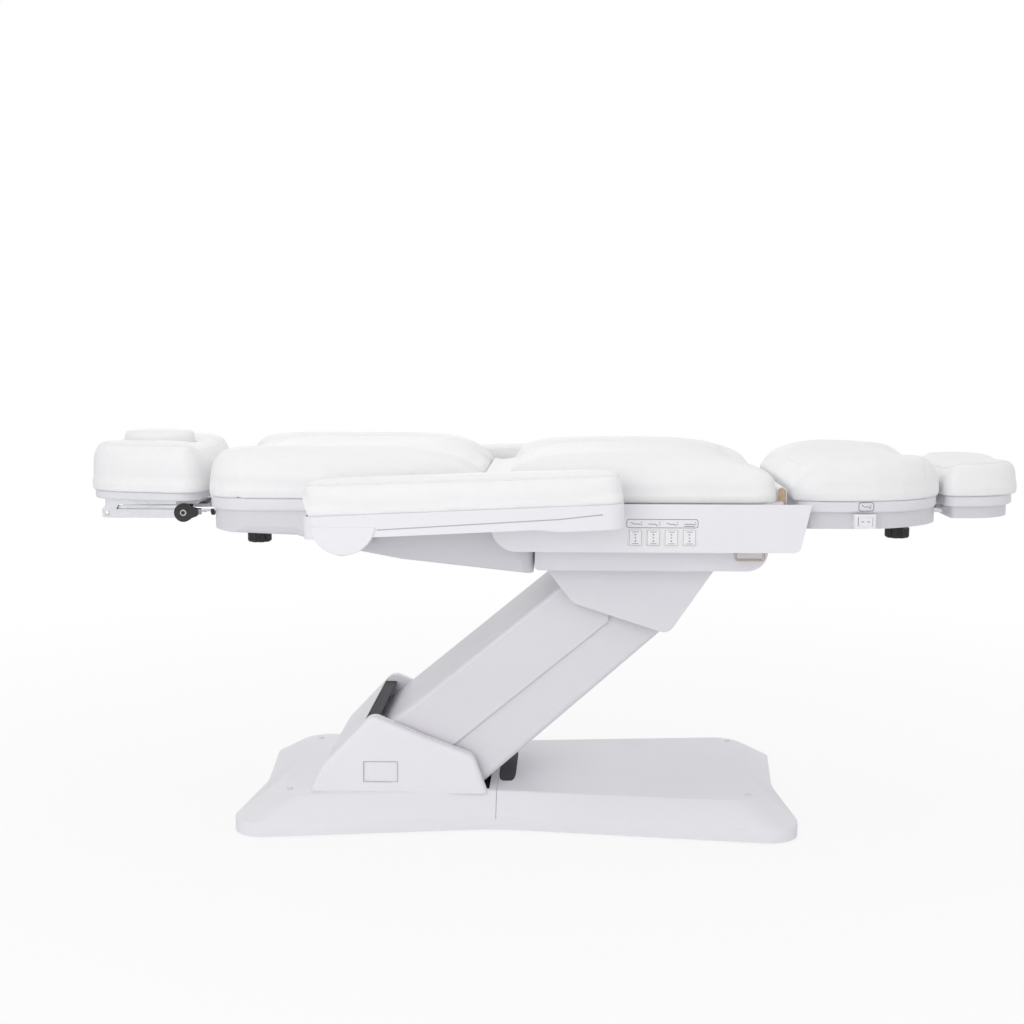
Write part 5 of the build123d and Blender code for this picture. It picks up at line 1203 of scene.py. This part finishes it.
@dataclass
class Shells:
    """Moulded pans and armrest shells with the photograph's rims, and dark tubes of painted shade
    in their grooves.
    """

    groove_radius: float = 0.0028
    groove_sunk: float = 0.0022
    groove_step: float = 0.01
    hub_x: float = -0.373
    hub_z: float = 0.645
    hub_radius: float = 0.061
    hub_top: float = 0.636
    hub_thickness: float = 0.004

    def build(self) -> None:
        """Makes each shell from its solid."""
        pans = (
            ("back_pan", "back", BACK_PAN_FIT),
            ("foot_pan", "foot", FOOT_PAN_FIT),
            ("leg_pan", "leg", LEG_PAN_FIT),
            ("armrest_right_shell", "armrest_right", ARM_SHELL_FIT),
            ("armrest_left_shell", "armrest_left", ARM_SHELL_FIT),
        )
        for node, body, fit in pans:
            arm = node.startswith("armrest")
            mesh = frame["nodes"][node].data.copy()
            fit.apply(mesh)
            dress(mesh, WHITE_PLASTIC if arm else PAN_PLASTIC)
            shell = placed(f"{node}_moulding", mesh)
            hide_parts(node)
            carry(shell, body)
            log.info("%s: %d faces", shell.name, len(mesh.polygons))
            if arm:
                side = Side[body.rsplit("_", 1)[1].upper()].value
                self._hub(mesh, body, side)
                self._groove(mesh, body, side)

    def _hub(self, mesh: bpy.types.Mesh, body: str, side: int) -> None:
        """The round lower lobe of the swing hub, as a cap on the shell's outer face."""
        r = self.hub_radius
        high = self.hub_thickness
        face = max(side * v.co.y for v in mesh.vertices) * side
        profile = [(r, -0.001), (r, high - 0.0015), (r - 0.0015, high)]
        centre = Vector((self.hub_x, face, self.hub_z))
        points, faces = turned(profile, centre, Axis.WIDTH.value * side, 72)
        for point in points:
            point.z = min(point.z, self.hub_top)
        cap = mesh_object(f"{body}_hub", points, faces, [WHITE_PLASTIC])
        crisp(cap, 30)
        carry(cap, body)

    def _groove(self, mesh: bpy.types.Mesh, body: str, side: int) -> None:
        """A dark tube of painted shade in the groove between an armrest shell's rim and its lower
        lip.
        """
        tree = tree_of(mesh)
        out = Axis.WIDTH.value * side
        path: list[Vector] = []
        line = [Vector((x, 0.0, z)) for x, z in ARM_GROOVE]
        for spot in resampled(line, self.groove_step, False):
            hit = tree.ray_cast(spot + out, -out)[0]
            if hit is not None:
                path.append(hit - out * self.groove_sunk)
        # Painted shade: the dark tube stands for the shade in the groove.
        groove = mesh_object(f"{body}_groove", *tube(path, self.groove_radius, 6), [PAINTED_SHADE_LINE])
        carry(groove, body)


@dataclass
class Flap:
    """The folded leather flap over the gap between the seat and leg cushions."""

    node: str = "gap_flap"
    thickness: float = 0.0018
    runs: int = 60
    turns: int = 22
    shift: float = -0.0115
    narrow: float = 0.93
    lining_in: float = 0.003
    lining_dip: float = 0.004

    def build(self) -> None:
        """A thin folded sheet, napped inside, a little uneven along its width."""
        low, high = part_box(self.node)
        low.x += self.shift
        high.x += self.shift
        radius = (high.x - low.x) / 2 - 0.0004
        middle = (low.x + high.x) / 2
        crown = high.z - radius
        waist = (low.z + crown) / 2
        fold = [math.pi - math.pi * turn / self.turns for turn in range(self.turns + 1)]
        profile = [
            (-radius, low.z),
            (-radius, waist),
            *((radius * math.cos(angle), crown + radius * math.sin(angle)) for angle in fold),
            (radius, waist),
            (radius, low.z),
        ]
        points: list[Vector] = []
        for run in range(self.runs + 1):
            y = low.y + (high.y - low.y) * run / self.runs
            sway = noise.noise(Vector((y * 14, 0.3, 0.7))) * 0.0007
            sink = noise.noise(Vector((y * 9, 4.3, 1.7))) * 0.0012 - 0.0012
            for x, z in profile:
                lift = max(0.0, (z - low.z) / (high.z - low.z))
                points.append(Vector((middle + x * self.narrow + sway * lift, y, z + sink * lift)))
        faces = grid(self.runs, len(profile), upward=False)
        flap = mesh_object("gap_flap_leather", points, faces, [WHITE_LEATHER, SUEDE])
        napped = {"material_offset": 1, "material_offset_rim": 0}
        reshape(flap, ("SOLIDIFY", {"thickness": self.thickness, "offset": -1.0, **napped}))
        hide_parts(self.node)
        carry(flap, "seat")
        inner = radius * self.narrow - self.thickness
        for side in Side:
            y = (low.y if side is Side.RIGHT else high.y) - side.value * self.lining_in
            crumple: list[Vector] = []
            for x, z in profile:
                dip = side.value * (1.0 - (x / radius) ** 2) * self.lining_dip
                share = inner / radius
                crumple.append(Vector((middle + x * share, y + dip, min(z, crown + inner))))
            count = len(crumple)
            rows = [(i, i + 1, count - 2 - i, count - 1 - i) for i in range(count // 2 - 1)]
            lining = mesh_object(f"gap_flap_lining_{side.name.lower()}", crumple, rows, [SUEDE])
            carry(lining, "seat")


@dataclass
class Gusset:
    """The leather sheet sewn between the back and seat cushions."""

    half: float = 0.25
    crest: float = 0.708
    rise: float = 0.01
    sag: float = 0.006
    x_back: float = -0.128
    x_seat: float = -0.06
    sewn: float = 0.012
    slack: float = 1.25
    runs: int = 60
    across: int = 12
    thickness: float = 0.0016

    def build(self) -> None:
        """A shallow valley that follows the recline hinge."""
        points: list[Vector] = []
        length = self.x_seat - self.x_back
        for run in range(self.runs + 1):
            y = self.half * (2 * run / self.runs - 1)
            for step in range(self.across + 1):
                share = step / self.across
                sink = self.sag * math.sin(math.pi * share)
                crease = noise.noise(Vector((y * 11, share * 2, 0.5))) * 0.0014
                level = self.crest + self.rise * share - sink + crease
                points.append(Vector((self.x_back + length * share, y, level)))
        faces = grid(self.runs, self.across + 1)
        sheet = mesh_object("hinge_gusset", points, faces, [WHITE_LEATHER])
        reshape(sheet, ("SOLIDIFY", {"thickness": self.thickness, "offset": -1.0}))
        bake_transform(sheet)
        log.info("hinge gusset: %d faces", len(sheet.data.polygons))


@dataclass
class Prints:
    """Plain pictograms printed on the controls."""

    lift: float = 0.00012
    line: float = 0.0011
    wedge_size: float = 0.0014
    ink: float = 0.0001
    rim_y: float = -0.3102
    rim_out: float = 0.0016
    rim_radius: float = 0.0014

    @staticmethod
    def ribbon(corners: Sequence[tuple[float, float]], width: float) -> list:
        """Quads of a flat line through corners in side view."""
        out = []
        for (x0, z0), (x1, z1) in zip(corners, corners[1:]):
            start = Vector((x0, z0))
            run = Vector((x1 - x0, z1 - z0))
            steps = max(1, round(run.length / 0.004))
            side = Vector((-run.y, run.x)).normalized() * width / 2
            for step in range(steps):
                a = start + run * (step / steps)
                b = start + run * ((step + 1) / steps)
                out.append([a + side, a - side, b - side, b + side])
        return out

    def dash(self, x: float, z: float, reach: float, width: float) -> list:
        """A short level line."""
        return self.ribbon([(x - reach, z), (x + reach, z)], width)

    @staticmethod
    def wedges(x: float, top: float, low: float, size: float) -> list:
        """A small triangle that points up over one that points down."""
        return [
            [Vector((x - size, z)), Vector((x + size, z)), Vector((x, z + up * size * 1.3))]
            for z, up in ((top, 1), (low, -1))
        ]

    def lay(self, name: str, carrier: bpy.types.Object, body: str, shapes: list) -> None:
        """Projects flat shapes from the near side onto a carrier."""
        tree = tree_of(as_mesh(carrier))
        points: list[Vector] = []
        faces: list[tuple[int, ...]] = []
        for shape in shapes:
            rays = [Vector((corner.x, -1.0, corner.y)) for corner in shape]
            hits = [tree.ray_cast(ray, Axis.WIDTH.value)[0] for ray in rays]
            if None not in hits:
                faces.append(tuple(range(len(points), len(points) + len(hits))))
                points.extend(hit - Axis.WIDTH.value * self.lift for hit in hits)
        mark = mesh_object(name, points, faces, [INK])
        reshape(mark, ("SOLIDIFY", {"thickness": self.ink, "offset": 0.0}))
        carry(mark, body)
        log.info("%s: %d strokes", name, len(faces))

    @staticmethod
    def frame_line(x0: float, x1: float, z0: float, z1: float, round_by: float) -> list:
        """Corners of a rounded frame, with the first again at the end."""
        out = rounded((x0, z0), (x1, z1), round_by, 7)
        return out + [out[0]]

    def couch(self, x: float, z: float, back: float, leg: float, size: float) -> list:
        """A three-part couch line with its back and leg parts tilted."""
        up = math.radians(back)
        down = math.radians(leg)
        reach = size * 0.8
        half = size * 0.45
        corners = [
            (x - half - reach * math.cos(up), z + reach * math.sin(up)),
            (x - half, z),
            (x + half, z),
            (x + half + reach * math.cos(down), z - reach * math.sin(down)),
        ]
        return self.ribbon(corners, self.line)

    def build(self) -> None:
        """The strip over the hand buttons, their marks and the leg switch's marks."""
        self._strip()
        nodes = frame["nodes"]
        rims: list[Form] = []
        for index, word in enumerate(("one", "two", "three", "four")):
            node = f"button_{index + 1}"
            low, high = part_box(node)
            x = (low.x + high.x) / 2
            z = (low.z + high.z) / 2
            marks = self.wedges(x, z + 0.0052, z - 0.0052, 0.0021)
            marks += self.dash(x, z, 0.0012, 0.0018)
            marks += self.dash(x, z + 0.0112, 0.006, 0.0009)
            marks += self.dash(x, z - 0.0112, 0.006, 0.0009)
            self.lay(f"button_{word}_marks", nodes[node], f"button_{word}", marks)
            out = self.rim_out
            loop = rounded((low.x - out, low.z - out), (high.x + out, high.z + out), 0.003, 7)
            path = [Vector((x, self.rim_y, z)) for x, z in loop]
            rims.append(tube(path, self.rim_radius, 6, closed=True))
        bezels = mesh_object("button_rims", *joined(rims), [KEY_PLASTIC])
        carry(bezels, "seat")
        low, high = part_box("leg_switch_rocker")
        x = (low.x + high.x) / 2
        z = (low.z + high.z) / 2
        marks = self.dash(x - 0.0055, z, 0.0025, 0.0012) + self.dash(x + 0.0055, z, 0.0025, 0.0012)
        self.lay("leg_switch_marks", nodes["leg_switch_rocker"], "leg_rocker", marks)
        label = self.ribbon(self.frame_line(0.591, 0.6195, 0.6525, 0.6685, 0.0045), 0.0012)
        leg_line = [(0.597, 0.6645), (0.601, 0.6605), (0.609, 0.6605), (0.6135, 0.6565)]
        label += self.ribbon(leg_line, self.line)
        label += self.wedges(0.6135, 0.6625, 0.6605, self.wedge_size)
        self.lay("leg_switch_pictogram", bpy.data.objects["leg_board_upholstery"], "leg", label)

    def _strip(self) -> None:
        """The framed strip with one couch for each hand button."""
        shapes = self.ribbon(self.frame_line(0.15, 0.2845, 0.6225, 0.6385, 0.004), 0.001)
        for index, (back, leg) in enumerate(((35.0, 0.0), (0.0, 40.0), (20.0, 20.0), (0.0, 0.0))):
            x = 0.1665 + 0.034 * index
            shapes += self.couch(x, 0.6295, back, leg, 0.0075)
            shapes += self.wedges(x + 0.0115, 0.6325, 0.6295, self.wedge_size)
        shapes += self.dash(0.2685, 0.6255, 0.01, self.line)
        self.lay("button_pictograms", frame["nodes"]["seat_shell"], "seat", shapes)


@dataclass
class HeadFittings:
    """Lock cams, bushes, bars, rivets, washers and bolts of the headrest's bracket."""

    cam_x: float = -0.752
    cam_z: float = 0.622
    cam_size: float = 0.87
    rod_x: float = -0.735
    rod_y: float = 0.07
    rod_z: float = 0.624
    ring_along: float = 0.036
    bar_near: float = -0.765
    bar_far: float = -0.915
    bar_low: float = 0.6105
    bar_high: float = 0.6275
    bar_thickness: float = 0.0012
    bar_overlap: float = 0.0002
    rivet_x: float = -0.914
    rivet_z: float = 0.619
    collar: Knots = ((0.0082, 0.0), (0.0088, 0.001), (0.0088, 0.013), (0.0082, 0.014))
    end_ring: Knots = ((0.0085, 0.0), (0.0092, 0.001), (0.0092, 0.006), (0.0085, 0.007))
    washer: Knots = ((0.0066, -0.0006), (0.0066, 0.0004), (0.006, 0.0009), (0.0044, 0.0009))
    bolt: Knots = (
        (0.0042, 0.0), (0.0042, 0.0034), (0.0036, 0.004), (0.0018, 0.004), (0.0017, 0.003),
    )
    rivet: Knots = (
        (0.0048, -0.0004), (0.0048, 0.0008), (0.004128, 0.0019), (0.0024, 0.0026),
        (0.00144, 0.0027), (0.001248, 0.0021),
    )

    def build(self) -> None:
        """All small fittings of the bracket."""
        self._cams()
        self._bushes()
        self._bars()
        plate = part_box("head_upper_plate")
        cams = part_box("head_cams")
        rivet_at = Vector((self.rivet_x, self.bar_thickness, self.rivet_z))
        cam_at = Vector((self.cam_x, 0.0, self.cam_z))
        rivets = self._pair("bracket_rivets", self.rivet, plate, rivet_at, 20, BRIGHT)
        carry(rivets, "headrest")
        washers = self._pair("cam_washers", self.washer, cams, cam_at, 32, IVORY)
        carry(washers, "head_lock")
        bolts = self._pair("cam_bolts", self.bolt, cams, cam_at, 6, BLACK)
        carry(bolts, "head_lock")
        crisp(rivets)
        crisp(bolts)
        log.info("headrest bracket: rivets, washers and bolts")

    @staticmethod
    def _pair(
        name: str, profile: Knots, box: Sequence[Vector], at: Vector, sides: int, finish: Finish
    ) -> bpy.types.Object:
        """A turned piece on both outer faces of a box; at.y is its distance from the face."""
        parts: list[Form] = []
        for side, face in ((-1, box[0].y), (1, box[1].y)):
            centre = Vector((at.x, face + side * at.y, at.z))
            parts.append(turned(profile, centre, Axis.WIDTH.value * side, sides))
        return mesh_object(name, *joined(parts), [finish])

    def _cams(self) -> None:
        """The lock cams, a little smaller and with their tips to the foot end."""
        mesh = frame["nodes"]["head_cams"].data.copy()
        for vertex in mesh.vertices:
            x = (vertex.co.x - self.cam_x) * self.cam_size
            z = (vertex.co.z - self.cam_z) * self.cam_size
            vertex.co.x = self.cam_x - z
            vertex.co.z = self.cam_z + x
        dress(mesh, BLACK)
        cams = placed("lock_cams", mesh)
        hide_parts("head_cams")
        carry(cams, "head_lock")

    def _bushes(self) -> None:
        """Plated collars and dark end bushes on the two rods."""
        ahead = Vector((1, 0, 0))
        plated: list[Form] = []
        dark: list[Form] = []
        for side in (-1, 1):
            start = Vector((self.rod_x, side * self.rod_y, self.rod_z))
            plated.append(turned(self.collar, start, ahead, 28))
            dark.append(turned(self.end_ring, start + ahead * self.ring_along, ahead, 28))
        for name, parts, finish, slot in (
            ("rod_collars", plated, ZINC, "zinc_steel"),
            ("rod_rings", dark, BLACK, "black_plastic"),
        ):
            piece = mesh_object(name, *joined(parts), [finish])
            crisp(piece)
            carry(piece, "head_carrier")

    def _bars(self) -> None:
        """The flat side bars of the lower arm, round at their far ends."""
        low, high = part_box("head_lower_arm")
        radius = (self.bar_high - self.bar_low) / 2
        middle = (self.bar_high + self.bar_low) / 2
        outline = [(self.bar_near, self.bar_low), (self.bar_near, self.bar_high)]
        for step in range(13):
            angle = math.radians(90 + 15 * step)
            outline.append(
                (self.bar_far + radius * math.cos(angle), middle + radius * math.sin(angle))
            )
        count = len(outline)
        faces: list[tuple[int, ...]] = [
            tuple(range(count)),
            tuple(reversed(range(count, count * 2))),
            *((i, i + count, (i + 1) % count + count, (i + 1) % count) for i in range(count)),
        ]
        bars: list[Form] = []
        for side, face in ((-1, low.y), (1, high.y)):
            levels = (face - side * self.bar_overlap, face + side * self.bar_thickness)
            bars.append(([Vector((x, y, z)) for y in levels for x, z in outline], faces))
        piece = mesh_object("lower_arm_bars", *joined(bars), [ZINC])
        crisp(piece)
        carry(piece, "head_arm")


@dataclass
class BaseDetails:
    """Dark lines of painted shade along the cheek panel's edges, and dark plates of painted shade
    in the slot at the arm's foot.
    """

    panel: tuple[float, float, float, float] = (-0.3705, -0.3015, 0.091, 0.133)
    line: float = 0.0008
    slot_end: float = -0.068
    slot_start: float = -0.1026
    slot_half: float = 0.125
    slot_turns: int = 40
    slot_lip: float = 0.0004
    pit_sheet: float = 0.0006
    step: float = 0.004
    cover_top: float = 0.0722
    pit: tuple[float, float, float, float] = (-0.27, -0.08, 0.168, 0.0045)

    def build(self) -> None:
        """Lays painted shade lines along the panel's edges on both cheeks and dark plates of
        painted shade in the slot.
        """
        tree = tree_of(frame["nodes"]["base_cover_head"].data)
        x0, x1, z0, z1 = self.panel
        ring_of_panel = [Vector((x, 0.0, z)) for x, z in ((x0, z0), (x0, z1), (x1, z1), (x1, z0))]
        loops: list[Form] = []
        for side in Side:
            out = Axis.WIDTH.value * side.value
            spots = resampled(ring_of_panel, self.step, True)
            hits = [tree.ray_cast(spot + out, -out)[0] for spot in spots]
            path = [hit for hit in hits if hit is not None]
            loops.append(tube(path, self.line, 5, closed=True))
        # Painted shade: dark tubes along the recess edges stand for the shade there.
        edges = mesh_object("cheek_panel_painted_shade_lines", *joined(loops), [PAINTED_SHADE_LINE])
        carry(edges, "base")
        self._painted_slot_shade()

    def _painted_slot_shade(self) -> None:
        """A thin dark plate in the slot and one on the floor of the arm's pit, painted shade for
        the dark opening.
        """
        outline: list[Vector] = []
        middle = (self.slot_start + self.slot_end) / 2
        reach = (self.slot_end - self.slot_start) / 2
        count = self.slot_turns
        for step in range(count):
            angle = 2 * math.pi * step / count
            x = middle + reach * math.copysign(abs(math.cos(angle)) ** 0.5, math.cos(angle))
            y = self.slot_half * math.copysign(abs(math.sin(angle)) ** 0.4, math.sin(angle))
            outline.append(Vector((x, y, self.cover_top)))
        lip = [p - Vector((0, 0, self.slot_lip)) for p in outline]
        faces = [tuple(range(count)), tuple(reversed(range(count, count * 2)))]
        faces += [(i + count, (i + 1) % count + count, (i + 1) % count, i) for i in range(count)]
        low, high, half, floor = self.pit
        corners = [(low, -half), (high, -half), (high, half), (low, half)]
        levels = (floor, floor + self.pit_sheet)
        pit = [Vector((x, y, z)) for z in levels for x, y in corners]
        box = ((3, 2, 1, 0), (4, 5, 6, 7), (0, 1, 5, 4), (1, 2, 6, 5), (2, 3, 7, 6), (3, 0, 4, 7))
        points, faces = joined([([*outline, *lip], faces), (pit, box)])
        # Painted shade: dark plates where the slot and the pit lie only in shade.
        lining = mesh_object("arm_slot_painted_shade", points, faces, [SEAL])
        crisp(lining, 30)
        carry(lining, "base")


@dataclass
class SolidFinishes:
    """Which finish each solid of the chair takes."""

    @staticmethod
    def own() -> dict[str, Finish]:
        """The finish of each named solid that differs from its record slot's."""
        keys = [f"button_{number}" for number in range(1, 5)]
        rows = (
            (BASE_PLASTIC, ["base_cover_head", "base_cover_foot"]),
            (PAINTED, ["base_cover_screws"]),
            (
                ARM_PLASTIC,
                ["lower_arm_cover", "upper_arm_cover", "upper_shroud", "seat_under_cover"],
            ),
            (BRASS, ["remote_hook"]),
            (KEY_PLASTIC, [*keys, "leg_switch_rocker", "leg_switch_housing"]),
            (BOARD_LEATHER, ["seat_board"]),
            (CHROME, ["foot_rods", "head_rods"]),
            (BRIGHT, ["hinge_pins"]),
        )
        return {name: finish for finish, names in rows for name in names}

    @staticmethod
    def by_slot() -> dict[str, Finish]:
        """The usual finish of each of the record's slots."""
        return {
            "white_leather": WHITE_LEATHER,
            "white_plastic": WHITE_PLASTIC,
            "painted_steel": PAINTED,
            "zinc_steel": ZINC,
            "chrome_tube": CHROME,
            "black_plastic": BLACK,
            "black_rubber": RUBBER,
            "dark_rubber": SEAL,
            "plywood": PLY,
        }

    def build(self) -> None:
        """Gives every solid its finish."""
        own = self.own()
        usual = self.by_slot()
        slots = {part["node"]: part["material_slot"] for part in frame["record"]["subparts"]}
        for name, solid in frame["nodes"].items():
            finish = own.get(name, usual[slots[name]])
            dress(solid.data, finish)
            solid.data.polygons.foreach_set("material_index", [0] * len(solid.data.polygons))
            log.info("%s: %s", name, finish.name)


@dataclass
class Studio:
    """Floor, lamps, sky and camera."""

    camera_place: tuple[float, float, float] = (0.041, -3.18, 0.985)
    camera_yaw: float = 2.165
    camera_pitch: float = 6.625
    lens: float = 53.58
    floor_size: float = 60.0
    floor_cells: int = 8
    shadow_reach: float = 0.8
    white_from: float = 3.0
    ambient: float = 0.66

    def build(self) -> None:
        """Makes the studio."""
        self._floor()
        self._sky()
        self._lamp("top_light", (0.0, 0.1, 3.2), (0.0, 0.0, 0.0), 4.2, 18.0)
        self._lamp("front_light", (-1.5, -4.5, 1.9), (0.0, 0.0, 0.5), 3.4, 62.0)
        self._lamp("side_light", (4.2, -1.2, 2.0), (0.0, 0.0, 0.5), 2.6, 9.0)
        self._lamp("far_light", (-1.0, 4.4, 2.6), (0.0, 0.0, 0.5), 3.0, 14.0)
        self._camera()
        bpy.context.scene.view_settings.view_transform = "Standard"

    def _floor(self) -> None:
        """A wide pale floor that keeps the chair's shadow."""
        half = self.floor_size / 2
        count = self.floor_cells
        points = [
            (half * (2 * i / count - 1), half * (2 * j / count - 1), -0.0002)
            for i in range(count + 1)
            for j in range(count + 1)
        ]
        floor = mesh_object("studio_floor", points, grid(count, count + 1), [])
        g = Graph("pale_floor")
        tone = g.mix(g.grain(g.place(), 5.0, 4.0) * 0.2, (0.86, 0.86, 0.87), (0.82, 0.82, 0.83))
        matt = g.surface({"Base Color": tone, "Roughness": 0.75})
        white = g.node("ShaderNodeEmission", None, {"Color": (1, 1, 1), "Strength": 1.0})
        seen = g.node("ShaderNodeLightPath", output="Is Camera Ray")
        away = g.node(
            "ShaderNodeVectorMath", {"operation": "LENGTH"}, {0: g.place()}, output="Value"
        )
        share = away.band(self.shadow_reach, self.white_from) * 0.15 + 0.85
        shader = g.node("ShaderNodeMixShader", None, {0: seen * share, 1: matt, 2: white})
        floor.data.materials.append(g.finish(shader))

    def _sky(self) -> None:
        """A plain white surround, bright to the camera and soft on the chair."""
        world = bpy.data.worlds.new("studio_sky")
        bpy.context.scene.world = world
        world.use_nodes = True
        tree = world.node_tree
        tree.nodes.clear()
        output = tree.nodes.new("ShaderNodeOutputWorld")
        shell = tree.nodes.new("ShaderNodeBackground")
        path = tree.nodes.new("ShaderNodeLightPath")
        most = tree.nodes.new("ShaderNodeMath")
        most.operation = "MAXIMUM"
        level = tree.nodes.new("ShaderNodeMapRange")
        level.inputs["To Min"].default_value = self.ambient
        level.inputs["To Max"].default_value = 1.0
        shell.inputs["Color"].default_value = (1.0, 1.0, 1.0, 1.0)
        for source, target in (
            (path.outputs["Is Camera Ray"], most.inputs[0]),
            (path.outputs["Is Glossy Ray"], most.inputs[1]),
            (most.outputs[0], level.inputs["Value"]),
            (level.outputs["Result"], shell.inputs["Strength"]),
            (shell.outputs["Background"], output.inputs["Surface"]),
        ):
            tree.links.new(source, target)

    @staticmethod
    def _lamp(
        name: str, place: Sequence[float], target: Sequence[float], size: float, power: float
    ) -> None:
        """A square soft box that faces a target."""
        data = bpy.data.lights.new(name, "AREA")
        data.shape = "SQUARE"
        data.size = size
        data.energy = power
        lamp = placed(name, data)
        lamp.location = place
        aim = Vector(target) - Vector(place)
        lamp.rotation_euler = aim.to_track_quat("-Z", "Y").to_euler()

    def _camera(self) -> None:
        """The camera at the photograph's place and angle."""
        data = bpy.data.cameras.new("studio_camera")
        data.sensor_width = 36.0
        data.lens = self.lens
        data.clip_end = self.floor_size
        camera = placed("studio_camera", data)
        camera.location = self.camera_place
        pitch = math.radians(90.0 - self.camera_pitch)
        camera.rotation_euler = (pitch, 0.0, math.radians(self.camera_yaw))
        bpy.context.scene.camera = camera


def main() -> None:
    """Builds every part of the scene in order."""
    parts = (
        Studio(), SolidFinishes(), Upholstery(), Shells(), Flap(), Gusset(), Prints(),
        HeadFittings(), BaseDetails(),
    )
    for part in parts:
        part.build()
        log.info("built %s", type(part).__name__)


if __name__ == "__main__":
    main()
